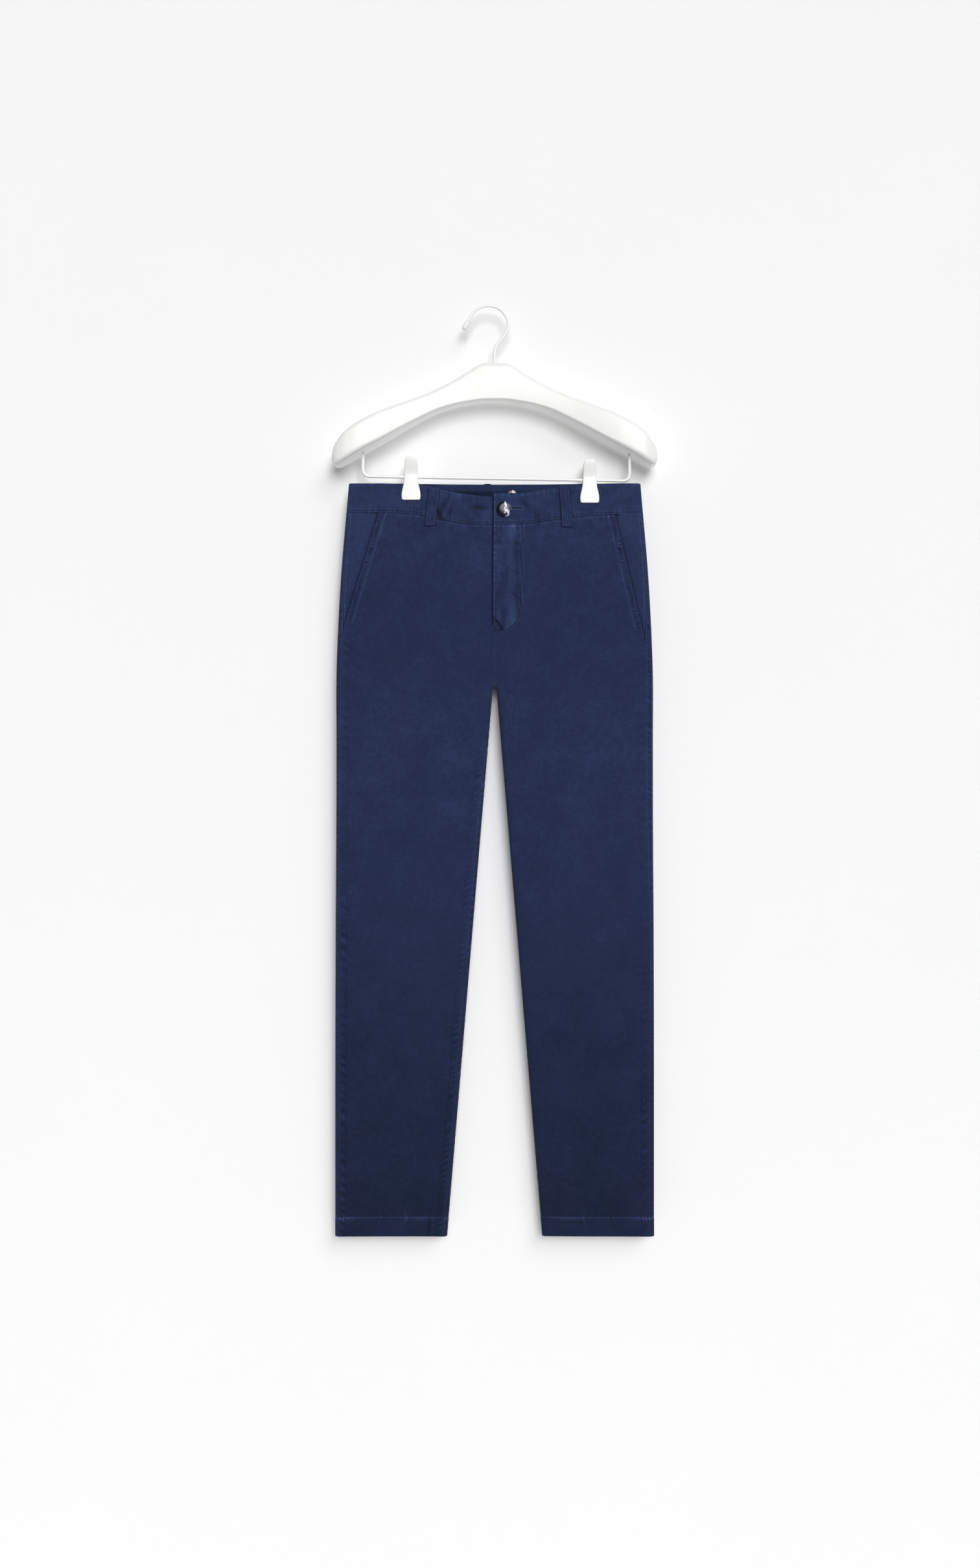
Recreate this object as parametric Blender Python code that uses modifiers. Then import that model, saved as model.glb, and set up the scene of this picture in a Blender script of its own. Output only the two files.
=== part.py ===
"""Chino trousers hanging from the two clips of a clip hanger.

Metres, +Z up. The origin is the bearing point inside the hanger's hook. The
front of the trousers faces -Y, and +X is the wearer's left.

Every cloth piece is a wall cut from one shared surface. A place on that surface
is given by its girth and its height: girth is the distance along the cloth from
a leg's outer fold, positive on the front and negative on the back.
"""

import math

import bmesh
import bpy
import numpy as np
from mathutils import Vector

MM = 0.001
RIGHT, LEFT = -1, 1          # the wearer's sides, as the sign of x
FRONT, BACK = -1, 1          # the faces, as the sign of y
GAP = 0.3 * MM               # clearance at a seam or between layers
HALF_GAP = GAP / 2

# Driving dimensions of the trousers
CENTRE_X = 5.5 * MM          # the centre line, under the hanger's neck
WAIST_Z = -241 * MM          # top edge of the back waistband
OUTSEAM = 1027 * MM          # waist to hem along the side
CROTCH_DROP = 280.5 * MM     # waist to the top of the gap between the legs
WAISTBAND_HEIGHT = 38.5 * MM
WAISTBAND_THICKNESS = 2.6 * MM
CLOTH_THICKNESS = 1.4 * MM
HEM_HEIGHT = 26 * MM
HEM_THICKNESS = 2.4 * MM
HEM_STEP = 2 * MM            # the cloth doubles over this height
FOLD_RADIUS = 5 * MM         # where the flat garment turns round its sides
CROTCH_TUCK_HEIGHT = 22 * MM  # over which the centre seam turns under the crotch
LEG_GAP_START = 2.6 * MM     # half the gap between the legs, just under the crotch
LEG_GAP_SLOPE = 0.0837       # how fast that half gap widens down the legs
LEGS_BEGIN = 60 * MM         # the two halves start to round off this far above the crotch
LEGS_ROUND = 110 * MM        # and are two full legs this far below it
SWAY = 1.5 * MM              # how far the knees hang forward and the hems back

CROTCH_Z = WAIST_Z - CROTCH_DROP
HEM_Z = WAIST_Z - OUTSEAM
QUARTER_FOLD = FOLD_RADIUS * math.pi / 2

# Driving dimensions of the hanger
WIRE_RADIUS = 2.05 * MM
CLIP_X = {RIGHT: -108.5 * MM, LEFT: 135 * MM}

# The flat garment, level by level, in mm: distance below the waist, half width,
# and how far each face stands from the middle plane at its fullest.
LEVELS_DROP, LEVELS_HALF_WIDTH, LEVELS_FRONT, LEVELS_BACK = np.array([
    (0, 199.0, 12.0, 10.0),
    (50, 203.3, 12.5, 12.0),
    (115, 208.8, 13.0, 16.0),
    (190, 213.3, 13.5, 19.0),
    (260, 215.9, 13.5, 18.5),
    (350, 215.9, 13.0, 15.5),
    (450, 216.0, 12.5, 13.5),
    (620, 217.0, 11.5, 12.0),
    (800, 217.6, 10.5, 11.0),
    (1027, 217.7, 9.5, 10.0),
]).T * MM

# The waist, from the wearer's right to left, in mm: place across from the centre
# line, and how far the front and the back stand from the middle plane. The clips
# pinch the two together, and between them the front bows out.
WAIST_ACROSS, WAIST_FRONT, WAIST_BACK = np.array([
    (-199, 5.0, 5.0),
    (-160, 5.2, 5.0),
    (-129, 3.1, 3.1),
    (-99, 3.1, 3.1),
    (-50, 10.5, 6.8),
    (0, 14.0, 8.0),
    (55, 11.5, 7.0),
    (114, 3.1, 3.1),
    (145, 3.1, 3.1),
    (168, 5.0, 4.8),
    (199, 5.0, 5.0),
]).T * MM
PINCH_HEIGHT = 26 * MM       # the waistband hangs straight this far under the clips
PINCH_FADE = 130 * MM        # and has filled out this far below that

# Where each seam shows, in mm: how far it lies inside the outline on the front.
# A negative inset is a seam that lies on the back.
SEAM_DROP, RIGHT_SIDE_INSET, LEFT_SIDE_INSET, RIGHT_INSEAM_INSET, LEFT_INSEAM_INSET = np.array([
    (0, 6.2, 5.0, 0.0, 0.0),
    (110, 5.6, 5.2, 0.0, 0.0),
    (255, 7.8, 10.5, 0.0, 0.0),
    (430, 6.0, 9.6, 6.0, -2.0),
    (640, 5.6, 6.0, 6.4, -2.5),
    (850, 5.4, 8.0, 5.0, -2.5),
    (1027, 5.4, 7.8, 6.0, -2.0),
]).T * MM
SIDE_INSET = {RIGHT: RIGHT_SIDE_INSET, LEFT: LEFT_SIDE_INSET}
INSEAM_INSET = {RIGHT: RIGHT_INSEAM_INSET, LEFT: LEFT_INSEAM_INSET}

# How the front waist sags between the clips
DIP_REACH = 108 * MM
DIP_SHAPE = 1.3
TOP_DIP = {RIGHT: 17.1 * MM, LEFT: 12.2 * MM}
SEAM_DIP = {RIGHT: 16.8 * MM, LEFT: 15.2 * MM}
DIP_FADE_DROP = 130 * MM     # below this the rows are level again

# The slanted pocket mouths, from the waist seam to the side seam
SLANT_TOP_X = {RIGHT: 158 * MM, LEFT: 163.5 * MM}
SLANT_END_X = {RIGHT: 205 * MM, LEFT: 202 * MM}
SLANT_END_DROP = {RIGHT: 195 * MM, LEFT: 204 * MM}
POCKET_FACING_THICKNESS = 1.0 * MM
POCKET_FACING_UNDERLAP = 14 * MM
POCKET_FACING_BELOW = 16 * MM
POCKET_FACING_PAST_SEAM = 0.6 * MM
POCKET_FACING_CLEARANCE = 2 * GAP   # under the panels, which are coarser where they turn

# The fly: the wearer's left front laps over the right one
FLY_TOP_LAP = 1.4 * MM       # how far the left front passes the centre line at the waist
FLY_LAP = 2.6 * MM           # and at the fly's lower end
FLY_UNDERLAP = 3.5 * MM      # how far the right front reaches under it
FLY_END_DROP = 183 * MM
FLY_CLOSE_DROP = 200 * MM    # from here down the fronts meet edge to edge
LAP_START = 2 * MM           # the right front lies fully under the lap up to here
LAP_REACH = 38 * MM          # and is back at the surface this far from the centre line
LAP_STEP = 25 * MM           # below the waistband it rises to the thinner front over this height
LAP_FADE = 40 * MM           # and below the fly it rises to the surface over this one
WAISTBAND_UNDERLAP = 37 * MM
FLY_SHIELD_WIDTH = 46 * MM
FLY_SHIELD_OUTER_X = 38 * MM
FLY_SHIELD_THICKNESS = 1.4 * MM
ZIP_WIDTH = 27 * MM
ZIP_OUTER_X = 25 * MM
ZIP_THICKNESS = 1.0 * MM
ZIP_LENGTH = 136 * MM

# Belt loops, in mm: name, face, place across at the top and at the bottom, and
# how far the top stands above the waistband's edge.
LOOP_ROWS = [
    ("front_right", FRONT, -81.5, -88.5, 0.0),
    ("front_left", FRONT, 94.0, 98.5, 0.0),
    ("back_right", BACK, -150.0, -150.0, 0.0),
    ("back_left", BACK, 156.0, 156.0, 0.0),
    ("back_centre", BACK, -10.0, -10.0, 1.6),
]
LOOP_WIDTH = 12.8 * MM
LOOP_THICKNESS = 1.6 * MM
LOOP_BELOW_SEAM = 13 * MM
LOOP_CLEARANCE = 0.7 * MM    # under a loop's ends
LOOP_SLACK = 1.0 * MM        # how much further the middle of a loop stands off

# The largest soft folds, in mm: face, place across, drop of the middle, length,
# tilt from the vertical in degrees, width, and height (negative is a trough).
FOLDS_START_DROP = 40 * MM   # there are none above this
FOLDS_FULL_DROP = 100 * MM
FOLD_COLUMNS = ("face", "across", "drop", "length", "tilt", "width", "height")
FOLD_ROWS = [
    (FRONT, -112, 120, 170, -6, 24, -1.6),
    (FRONT, 128, 125, 180, 7, 26, -1.7),
    (FRONT, -34, 262, 120, 52, 20, -1.8),
    (FRONT, 36, 268, 130, -50, 21, -2.0),
    (FRONT, -88, 330, 190, 20, 30, 1.5),
    (FRONT, 92, 350, 220, -14, 32, 1.7),
    (FRONT, -150, 520, 300, 3, 30, -1.5),
    (FRONT, 120, 560, 340, -5, 34, 1.8),
    (FRONT, -112, 690, 260, 8, 32, 1.6),
    (FRONT, 168, 730, 250, 2, 26, -1.4),
    (FRONT, -132, 900, 260, -3, 30, -1.3),
    (FRONT, 138, 920, 240, -4, 32, 1.4),
    (BACK, -60, 150, 190, 24, 28, -2.2),
    (BACK, 64, 155, 200, -22, 28, -2.4),
    (BACK, -46, 290, 130, 48, 22, -2.6),
    (BACK, 48, 296, 140, -46, 22, -2.5),
    (BACK, -110, 420, 260, 10, 34, 2.0),
    (BACK, 116, 440, 240, -12, 34, 2.2),
    (BACK, -146, 640, 230, -6, 28, -1.9),
    (BACK, 148, 660, 260, 5, 30, -1.8),
    (BACK, -120, 860, 260, 4, 32, 1.6),
    (BACK, 128, 880, 240, -6, 32, 1.5),
]

# Heights of the rows of the leg panels, in mm below the waist
ROW_DROPS = np.concatenate([
    [WAISTBAND_HEIGHT],
    np.array([58, 82, 108, 134, 160, 183, 200, 222, 242, 258.5, 267, 274.2, 278.8]) * MM,
    [CROTCH_DROP],
    np.array([282.6, 286, 298, 320, 348, 380, 416, 456, 500, 546, 594]) * MM,
    np.linspace(642, 966, 8) * MM,
    [OUTSEAM - HEM_HEIGHT - HEM_STEP, OUTSEAM - HEM_HEIGHT, OUTSEAM],
])
FRONT_FRACTIONS = np.array([0, 0.022, 0.06, 0.14, 0.26, 0.39, 0.52, 0.65, 0.77, 0.87, 0.94, 0.975, 1])
BACK_FRACTIONS = np.array(
    [0, 0.018, 0.036, 0.058, 0.085, 0.15, 0.27, 0.40, 0.53, 0.66, 0.78, 0.88, 0.94, 0.97, 1])


# ---------------------------------------------------------------- the surface

def smooth(value, start, end):
    """Rises smoothly from 0 at start to 1 at end."""
    part = np.clip((value - start) / (end - start), 0, 1)
    return part * part * (3 - 2 * part)


def between(value, places, heights):
    """Interpolates a table's column with a smooth step from row to row."""
    value = np.clip(value, places[0], places[-1])
    row = np.clip(np.searchsorted(places, value, side="right") - 1, 0, len(places) - 2)
    part = (value - places[row]) / (places[row + 1] - places[row])
    part = part * part * (3 - 2 * part)
    return heights[row] + (heights[row + 1] - heights[row]) * part


def drop_of(z):
    return WAIST_Z - z


def outer_x(z):
    """Half the garment's width."""
    return np.interp(drop_of(z), LEVELS_DROP, LEVELS_HALF_WIDTH)


def inner_x(z):
    """A half's inner edge: the centre seam, then the leg's inner fold."""
    below = np.maximum(CROTCH_Z - z, 0)
    return HALF_GAP + LEG_GAP_START * smooth(below, 0, 5 * MM) + LEG_GAP_SLOPE * below


def crotch_tuck(z):
    """0 where the centre seam lies flat, 1 where the inner side is a closed fold."""
    return np.clip((CROTCH_Z + CROTCH_TUCK_HEIGHT - z) / CROTCH_TUCK_HEIGHT, 0, 1)


def face_run(z):
    """The cloth's length across one face of one half, from outer fold to inner edge."""
    tuck = crotch_tuck(z)
    flat = outer_x(z) - inner_x(z) - FOLD_RADIUS * (1 + tuck)
    return flat + FOLD_RADIUS * (math.pi / 2 + np.arcsin(tuck))


def waist_dip(across):
    """How far the front waist sags there, as a share of its full sag."""
    reach = np.clip(np.abs(across) / DIP_REACH, 0, 1)
    return np.cos(math.pi / 2 * reach ** DIP_SHAPE)


def folds(face, across, drop):
    """The height of the soft folds on a face."""
    height = np.zeros(np.shape(across + drop))
    for row in FOLD_ROWS:
        fold = dict(zip(FOLD_COLUMNS, row))
        tilt = math.radians(fold["tilt"])
        side = across - fold["across"] * MM
        down = drop - fold["drop"] * MM
        along = down * math.cos(tilt) + side * math.sin(tilt)
        away = side * math.cos(tilt) - down * math.sin(tilt)
        taper = np.clip(1 - (2 * along / (fold["length"] * MM)) ** 2, 0, 1) ** 2
        ridge = np.exp(-(away / (fold["width"] * MM)) ** 2)
        height = height + (face == fold["face"]) * fold["height"] * MM * ridge * taper
    return height


def lap_sink(across, z):
    """How far the right front lies under the left one near the centre line."""
    drop = drop_of(z)
    under_band = WAISTBAND_THICKNESS + GAP
    under_front = CLOTH_THICKNESS + GAP
    band_end = WAISTBAND_HEIGHT + SEAM_DIP[RIGHT]
    sink = under_band + (under_front - under_band) * smooth(drop, band_end, band_end + LAP_STEP)
    sink = sink * (1 - smooth(drop, FLY_CLOSE_DROP, FLY_CLOSE_DROP + LAP_FADE))
    return sink * (1 - smooth(-across, LAP_START, LAP_REACH))


def face_depth(face, across, z):
    """How far a face stands from the middle plane."""
    drop = drop_of(z)
    full = np.where(face == FRONT,
                    np.interp(drop, LEVELS_DROP, LEVELS_FRONT),
                    np.interp(drop, LEVELS_DROP, LEVELS_BACK))
    place = np.clip((np.abs(across) - inner_x(z)) / (outer_x(z) - inner_x(z)), 0, 1)
    torso = 1 - place ** 3
    leg = 1 - np.abs(2 * place - 1) ** 3
    legs = smooth(drop, CROTCH_DROP - LEGS_BEGIN, CROTCH_DROP + LEGS_ROUND)
    body = FOLD_RADIUS + (full - FOLD_RADIUS) * (torso + (leg - torso) * legs)
    waist = np.where(face == FRONT,
                     between(across, WAIST_ACROSS, WAIST_FRONT),
                     between(across, WAIST_ACROSS, WAIST_BACK))
    filled = smooth(drop, PINCH_HEIGHT, PINCH_HEIGHT + PINCH_FADE)
    folded = smooth(drop, FOLDS_START_DROP, FOLDS_FULL_DROP)
    return waist + (body - waist) * filled + folds(face, across, drop) * folded


def sway(z):
    """The middle plane hangs a little forward at the knees and back at the hems."""
    return -SWAY * np.sin(1.6 * math.pi * np.clip(drop_of(z) / OUTSEAM, 0, 1) ** 1.3)


def cloth(side, girth, z):
    """Points on the garment's outer surface."""
    girth, z = np.broadcast_arrays(np.asarray(girth, float), np.asarray(z, float))
    face = np.where(girth >= 0, FRONT, BACK)
    run = np.abs(girth)
    full = face_run(z)
    round_inner_fold = (run > full) & (z < CROTCH_Z)
    face = np.where(round_inner_fold, -face, face)
    run = np.where(round_inner_fold, 2 * full - run, run)

    tuck = crotch_tuck(z)
    outer_angle = run / FOLD_RADIUS
    inner_angle = np.arccos(tuck) + (full - run) / FOLD_RADIUS
    at_outer = run < QUARTER_FOLD
    at_inner = (inner_angle < math.pi / 2) & (tuck > 0)
    x = np.where(at_outer, outer_x(z) - FOLD_RADIUS * (1 - np.cos(outer_angle)),
                 np.where(at_inner, inner_x(z) + FOLD_RADIUS * (tuck - np.cos(inner_angle)),
                          outer_x(z) - FOLD_RADIUS - (run - QUARTER_FOLD)))
    turn = np.where(at_outer, np.sin(outer_angle), np.where(at_inner, np.sin(inner_angle), 1))
    across = side * x
    depth = face_depth(face, across, z)
    if side == RIGHT:
        depth = depth - lap_sink(across, z) * (face == FRONT)
    return np.stack([CENTRE_X + across, sway(z) + face * depth * turn, z], axis=-1)


def inward(side, girth, z):
    """Unit vectors into the garment, square to its surface."""
    step = 0.2 * MM
    round_it = cloth(side, girth + step, z) - cloth(side, girth - step, z)
    down_it = cloth(side, girth, z + step) - cloth(side, girth, z - step)
    normal = side * np.cross(round_it, down_it)
    return normal / np.linalg.norm(normal, axis=-1, keepdims=True)


def girth_at(x, z):
    """The girth on the front, x from the centre line towards the side."""
    inset = np.maximum(outer_x(z) - x, 0)
    in_fold = FOLD_RADIUS * np.arccos(np.clip(1 - inset / FOLD_RADIUS, -1, 1))
    return np.where(inset < FOLD_RADIUS, in_fold, QUARTER_FOLD + inset - FOLD_RADIUS)


def side_seam(side, z):
    """The girth of the side seam."""
    inset = np.interp(drop_of(z), SEAM_DROP, SIDE_INSET[side])
    return girth_at(outer_x(z) - inset, z)


def inseam(side, z):
    """How far the inseam lies from the inner fold, positive towards the front."""
    inset = np.interp(drop_of(z), SEAM_DROP, INSEAM_INSET[side])
    inset = inset * smooth(CROTCH_Z - z, 0, 120 * MM)
    size = np.abs(inset)
    in_fold = FOLD_RADIUS * np.arccos(np.clip(1 - size / FOLD_RADIUS, -1, 1))
    return np.sign(inset) * np.where(size < FOLD_RADIUS, in_fold, QUARTER_FOLD + size - FOLD_RADIUS)


def slant_x(side, z):
    """The pocket mouth's place across at a height."""
    share = (drop_of(z) - WAISTBAND_HEIGHT) / (SLANT_END_DROP[side] - WAISTBAND_HEIGHT)
    return SLANT_TOP_X[side] + (SLANT_END_X[side] - SLANT_TOP_X[side]) * share


def fly_lap(side, z):
    """How far a front passes the centre line at the fly."""
    drop = drop_of(z)
    reach = FLY_UNDERLAP
    if side == LEFT:
        reach = FLY_TOP_LAP + (FLY_LAP - FLY_TOP_LAP) * smooth(drop, WAISTBAND_HEIGHT, FLY_END_DROP)
    return reach * (1 - smooth(drop, FLY_END_DROP, FLY_CLOSE_DROP))


# --------------------------------------------------------------- making solids

def add_object(name, bm, material, smooth_angle=None):
    """Turns a bmesh into an object of the model's collection."""
    bmesh.ops.recalc_face_normals(bm, faces=bm.faces)
    mesh = bpy.data.meshes.new(name)
    bm.to_mesh(mesh)
    bm.free()
    mesh.materials.append(material)
    if smooth_angle is not None:
        mesh.shade_smooth()
        mesh.set_sharp_from_angle(angle=math.radians(smooth_angle))
    obj = bpy.data.objects.new(name, mesh)
    model.objects.link(obj)
    return obj


def wall(name, outer, inner, material):
    """A closed wall between two grids of points, rows by columns."""
    rows, columns = outer.shape[:2]
    bm = bmesh.new()
    grids = [[[bm.verts.new(point) for point in row] for row in grid] for grid in (outer, inner)]
    for row in range(rows - 1):
        for column in range(columns - 1):
            for grid in grids:
                bm.faces.new((grid[row][column], grid[row][column + 1],
                              grid[row + 1][column + 1], grid[row + 1][column]))
    for row in range(rows - 1):
        for column in (0, columns - 1):
            bm.faces.new((grids[0][row][column], grids[0][row + 1][column],
                          grids[1][row + 1][column], grids[1][row][column]))
    for column in range(columns - 1):
        for row in (0, rows - 1):
            bm.faces.new((grids[0][row][column], grids[0][row][column + 1],
                          grids[1][row][column + 1], grids[1][row][column]))
    return add_object(name, bm, material, smooth_angle=50)


def layer(name, side, girth, z, sunk, thickness, material):
    """A wall that follows the garment's surface, sunk a given distance into it."""
    surface = cloth(side, girth, z)
    normal = inward(side, girth, z)
    sunk = np.asarray(sunk)[..., None]
    thickness = np.asarray(thickness)[..., None]
    return wall(name, surface + normal * sunk, surface + normal * (sunk + thickness), material)


def spread(start, end, fractions):
    """Columns between two girths that change from row to row."""
    return start + (end - start) * fractions


# -------------------------------------------------------------- the trousers

def seam_z(side, across):
    """The front waist seam's height."""
    return WAIST_Z - WAISTBAND_HEIGHT - SEAM_DIP[side] * waist_dip(across)


def panel_across(side, z, fractions):
    """A front panel's columns above the pocket's end, as places across."""
    outer = np.minimum(slant_x(side, z), outer_x(z))
    return outer + (-fly_lap(side, z) - outer) * fractions


def front_rows(side, fractions):
    """Heights of a front panel's grid: the top row follows the sagging waist seam."""
    drops = ROW_DROPS[:, None]
    level = WAIST_Z - drops
    dip = waist_dip(panel_across(side, level, fractions[None, :]))
    fade = 1 - smooth(drops, WAISTBAND_HEIGHT, DIP_FADE_DROP)
    return level - HALF_GAP * (drops == ROW_DROPS[0]) - SEAM_DIP[side] * dip * fade


def leg_thickness(z):
    """The cloth, doubled where the hem is turned up."""
    hem_top = OUTSEAM - HEM_HEIGHT
    hem = smooth(drop_of(z), hem_top - HEM_STEP, hem_top)
    return CLOTH_THICKNESS + (HEM_THICKNESS - CLOTH_THICKNESS) * hem


def front_panel(side, name):
    z = front_rows(side, FRONT_FRACTIONS)
    outer_edge = np.maximum(side_seam(side, z), girth_at(slant_x(side, z), z)) + HALF_GAP
    inner_edge = face_run(z) + fly_lap(side, z) - inseam(side, z) - HALF_GAP * crotch_tuck(z)
    girth = spread(outer_edge, inner_edge, FRONT_FRACTIONS)
    return layer(name, side, girth, z, 0, leg_thickness(z), navy_twill)


def back_panel(side, name):
    z = np.repeat(WAIST_Z - ROW_DROPS[:, None], len(BACK_FRACTIONS), axis=1)
    z[0] -= HALF_GAP
    outer_edge = side_seam(side, z) - HALF_GAP
    inner_edge = -(face_run(z) + inseam(side, z) - HALF_GAP * crotch_tuck(z))
    girth = spread(outer_edge, inner_edge, BACK_FRACTIONS)
    return layer(name, side, girth, z, 0, leg_thickness(z), navy_twill)


def pocket_facing(side, name):
    """The piece seen inside the slanted pocket mouth, sewn in at the side and the waist."""
    fractions = np.array([0, 0.06, 0.14, 0.3, 0.5, 0.75, 1])
    drops = np.linspace(WAISTBAND_HEIGHT + GAP, SLANT_END_DROP[side] + POCKET_FACING_BELOW, 9)
    z = np.repeat(WAIST_Z - drops[:, None], len(fractions), axis=1)
    outer_edge = side_seam(side, z) - POCKET_FACING_PAST_SEAM
    inner_edge = girth_at(slant_x(side, z) - POCKET_FACING_UNDERLAP, z)
    girth = spread(outer_edge, inner_edge, fractions)
    sunk = np.full(z.shape, CLOTH_THICKNESS + POCKET_FACING_CLEARANCE)
    return layer(name, side, girth, z, sunk, POCKET_FACING_THICKNESS, navy_twill)


def waistband_front(side, name):
    """Half the front waistband. The right one runs on under the left as the underlap."""
    seam_level = WAIST_Z - WAISTBAND_HEIGHT
    over_panel = panel_across(side, seam_level, FRONT_FRACTIONS)
    side_x = outer_x(seam_level) - SIDE_INSET[side][0] - HALF_GAP
    over_facing = np.linspace(side_x, over_panel[0], 4)[:-1]
    underlap = np.linspace(over_panel[-1], -WAISTBAND_UNDERLAP, 4)[1:] if side == RIGHT else []
    across = np.concatenate([over_facing, over_panel, underlap])[None, :]
    dip = waist_dip(across)
    low = WAIST_Z - WAISTBAND_HEIGHT - SEAM_DIP[side] * dip + HALF_GAP
    high = WAIST_Z - TOP_DIP[side] * dip
    z = low + (high - low) * np.linspace(0, 1, 4)[:, None]
    girth = girth_at(across, z)
    girth[:, 0] = side_seam(side, z[:, 0]) + HALF_GAP
    return layer(name, side, girth, z, 0, WAISTBAND_THICKNESS, navy_twill)


def waistband_back(name):
    """The back waistband, in one piece from side seam to side seam."""
    fractions = np.array([0, 0.025, 0.05, 0.075, 0.11, 0.2, 0.32, 0.44, 0.58, 0.72, 0.86])
    heights = np.linspace(WAIST_Z - WAISTBAND_HEIGHT + HALF_GAP, WAIST_Z, 4)
    grids = []
    for side in (RIGHT, LEFT):
        z = np.repeat(heights[:, None], len(fractions), axis=1)
        girth = spread(side_seam(side, z) - HALF_GAP, -(face_run(z) + inner_x(z)), fractions)
        normal = inward(side, girth, z)
        surface = cloth(side, girth, z)
        grids.append((surface, surface + normal * WAISTBAND_THICKNESS))
    outer = np.concatenate([grids[0][0], grids[1][0][:, ::-1]], axis=1)
    inner = np.concatenate([grids[0][1], grids[1][1][:, ::-1]], axis=1)
    return wall(name, outer, inner, navy_twill)


def fly_strip(name, outer_edge_x, width, sunk, thickness, length, material):
    """A strip behind the fly, hanging from just under the waist seam."""
    fractions = np.linspace(0, 1, 5)
    top = seam_z(RIGHT, 0.0) - 2 * GAP
    z = np.repeat(np.linspace(top, top - length, 8)[:, None], len(fractions), axis=1)
    x = outer_edge_x - width * fractions
    return layer(name, LEFT, girth_at(x, z), z, np.full(z.shape, sunk), thickness, material)


def belt_loop(name, face, top_across, bottom_across, above):
    """A folded strip sewn at the waistband's top edge and below the waist seam."""
    side = RIGHT if top_across < 0 else LEFT
    top_dip = TOP_DIP[side] * waist_dip(top_across) if face == FRONT else 0
    seam_dip = SEAM_DIP[side] * waist_dip(bottom_across) if face == FRONT else 0
    top = WAIST_Z - top_dip + above
    bottom = WAIST_Z - WAISTBAND_HEIGHT - seam_dip - LOOP_BELOW_SEAM
    share = np.array([0, 0.06, 0.2, 0.5, 0.8, 0.94, 1])[:, None]
    columns = np.array([-0.5, 0, 0.5])[None, :] * LOOP_WIDTH
    x = side * (top_across + (bottom_across - top_across) * share) + columns
    z = np.repeat(top + (bottom - top) * share, columns.shape[1], axis=1)
    girth = girth_at(x, z) if face == FRONT else -girth_at(x, z)
    slack = LOOP_CLEARANCE + LOOP_SLACK * np.sin(math.pi * share) ** 2
    sunk = -np.repeat(slack + LOOP_THICKNESS, columns.shape[1], axis=1)
    return layer(name, side, girth, z, sunk, LOOP_THICKNESS, navy_twill)


# -------------------------------------------------------------------- buttons

BUTTON_RADIUS = 10.4 * MM
BUTTON_THICKNESS = 4.2 * MM
BUTTON_ACROSS = 12.9 * MM
BUTTON_Z = -276 * MM
INNER_BUTTON_RADIUS = 7 * MM
INNER_BUTTON_THICKNESS = 2.6 * MM
INNER_BUTTON_ACROSS = 23.5 * MM
INNER_BUTTON_TOP_Z = -251.5 * MM


def turned(name, profile, steps, seat, heading, material, ring=False):
    """A profile of radius and height, turned round its axis and set with it along heading.

    The profile runs from the top down its outer side. A ring's profile is a closed loop.
    """
    count = len(profile)
    edges = [(point, (point + 1) % count) for point in range(count if ring else count - 1)]
    mesh = bpy.data.meshes.new(name)
    mesh.from_pydata([(radius, 0, height) for radius, height in profile], edges, [])
    mesh.materials.append(material)
    obj = bpy.data.objects.new(name, mesh)
    obj.location = seat
    obj.rotation_euler = Vector((0, 0, 1)).rotation_difference(heading).to_euler()
    screw = obj.modifiers.new("turn", "SCREW")
    screw.axis = "Z"
    screw.steps = screw.render_steps = steps
    screw.use_merge_vertices = True
    screw.merge_threshold = 0.01 * MM
    screw.use_smooth_shade = True
    model.objects.link(obj)
    return obj


def button(name, radius, thickness, seat, facing):
    """A button with a flat back on its seat, a rounded rim and a domed face."""
    shape = [(0, 1), (0.35, 0.97), (0.7, 0.88), (0.93, 0.7), (1, 0.42), (0.97, 0.16), (0.82, 0),
             (0, 0)]
    profile = [(share * radius, rise * thickness) for share, rise in shape]
    return turned(name, profile, 20, seat, facing, dark_horn)


def surface_seat(side, x, z, sunk):
    """A point a given distance into the garment's front surface, and the way in there."""
    girth = np.array([girth_at(x, z)])
    height = np.array([z])
    point = Vector(cloth(side, girth, height)[0])
    way_in = Vector(inward(side, girth, height)[0])
    return point + way_in * sunk, way_in


# ----------------------------------------------------------------- the hanger

# The moulded body, in mm: distance from the neck, top, bottom and half depth
HANGER_COLUMNS = ("out", "top", "bottom", "half_depth")
HANGER_ROWS = [
    (0, -78, -125, 13),
    (18, -78.4, -125.4, 13),
    (31, -86, -127.3, 13.2),
    (54, -100.2, -131.8, 14),
    (78, -113, -139.5, 15.5),
    (105, -125, -152.5, 18),
    (130, -134.6, -166, 21.5),
    (155, -144.6, -180, 25),
    (176, -155, -191.5, 27.5),
    (195, -166.5, -202.5, 28),
    (209, -179, -210.5, 25.5),
    (218.5, -191.5, -214.8, 19),
    (222.6, -202, -213.6, 9),
]
HANGER_CORNER = 0.32         # how square the body's section is: 1 is an ellipse
BODY_SECTION_POINTS = 14

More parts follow.
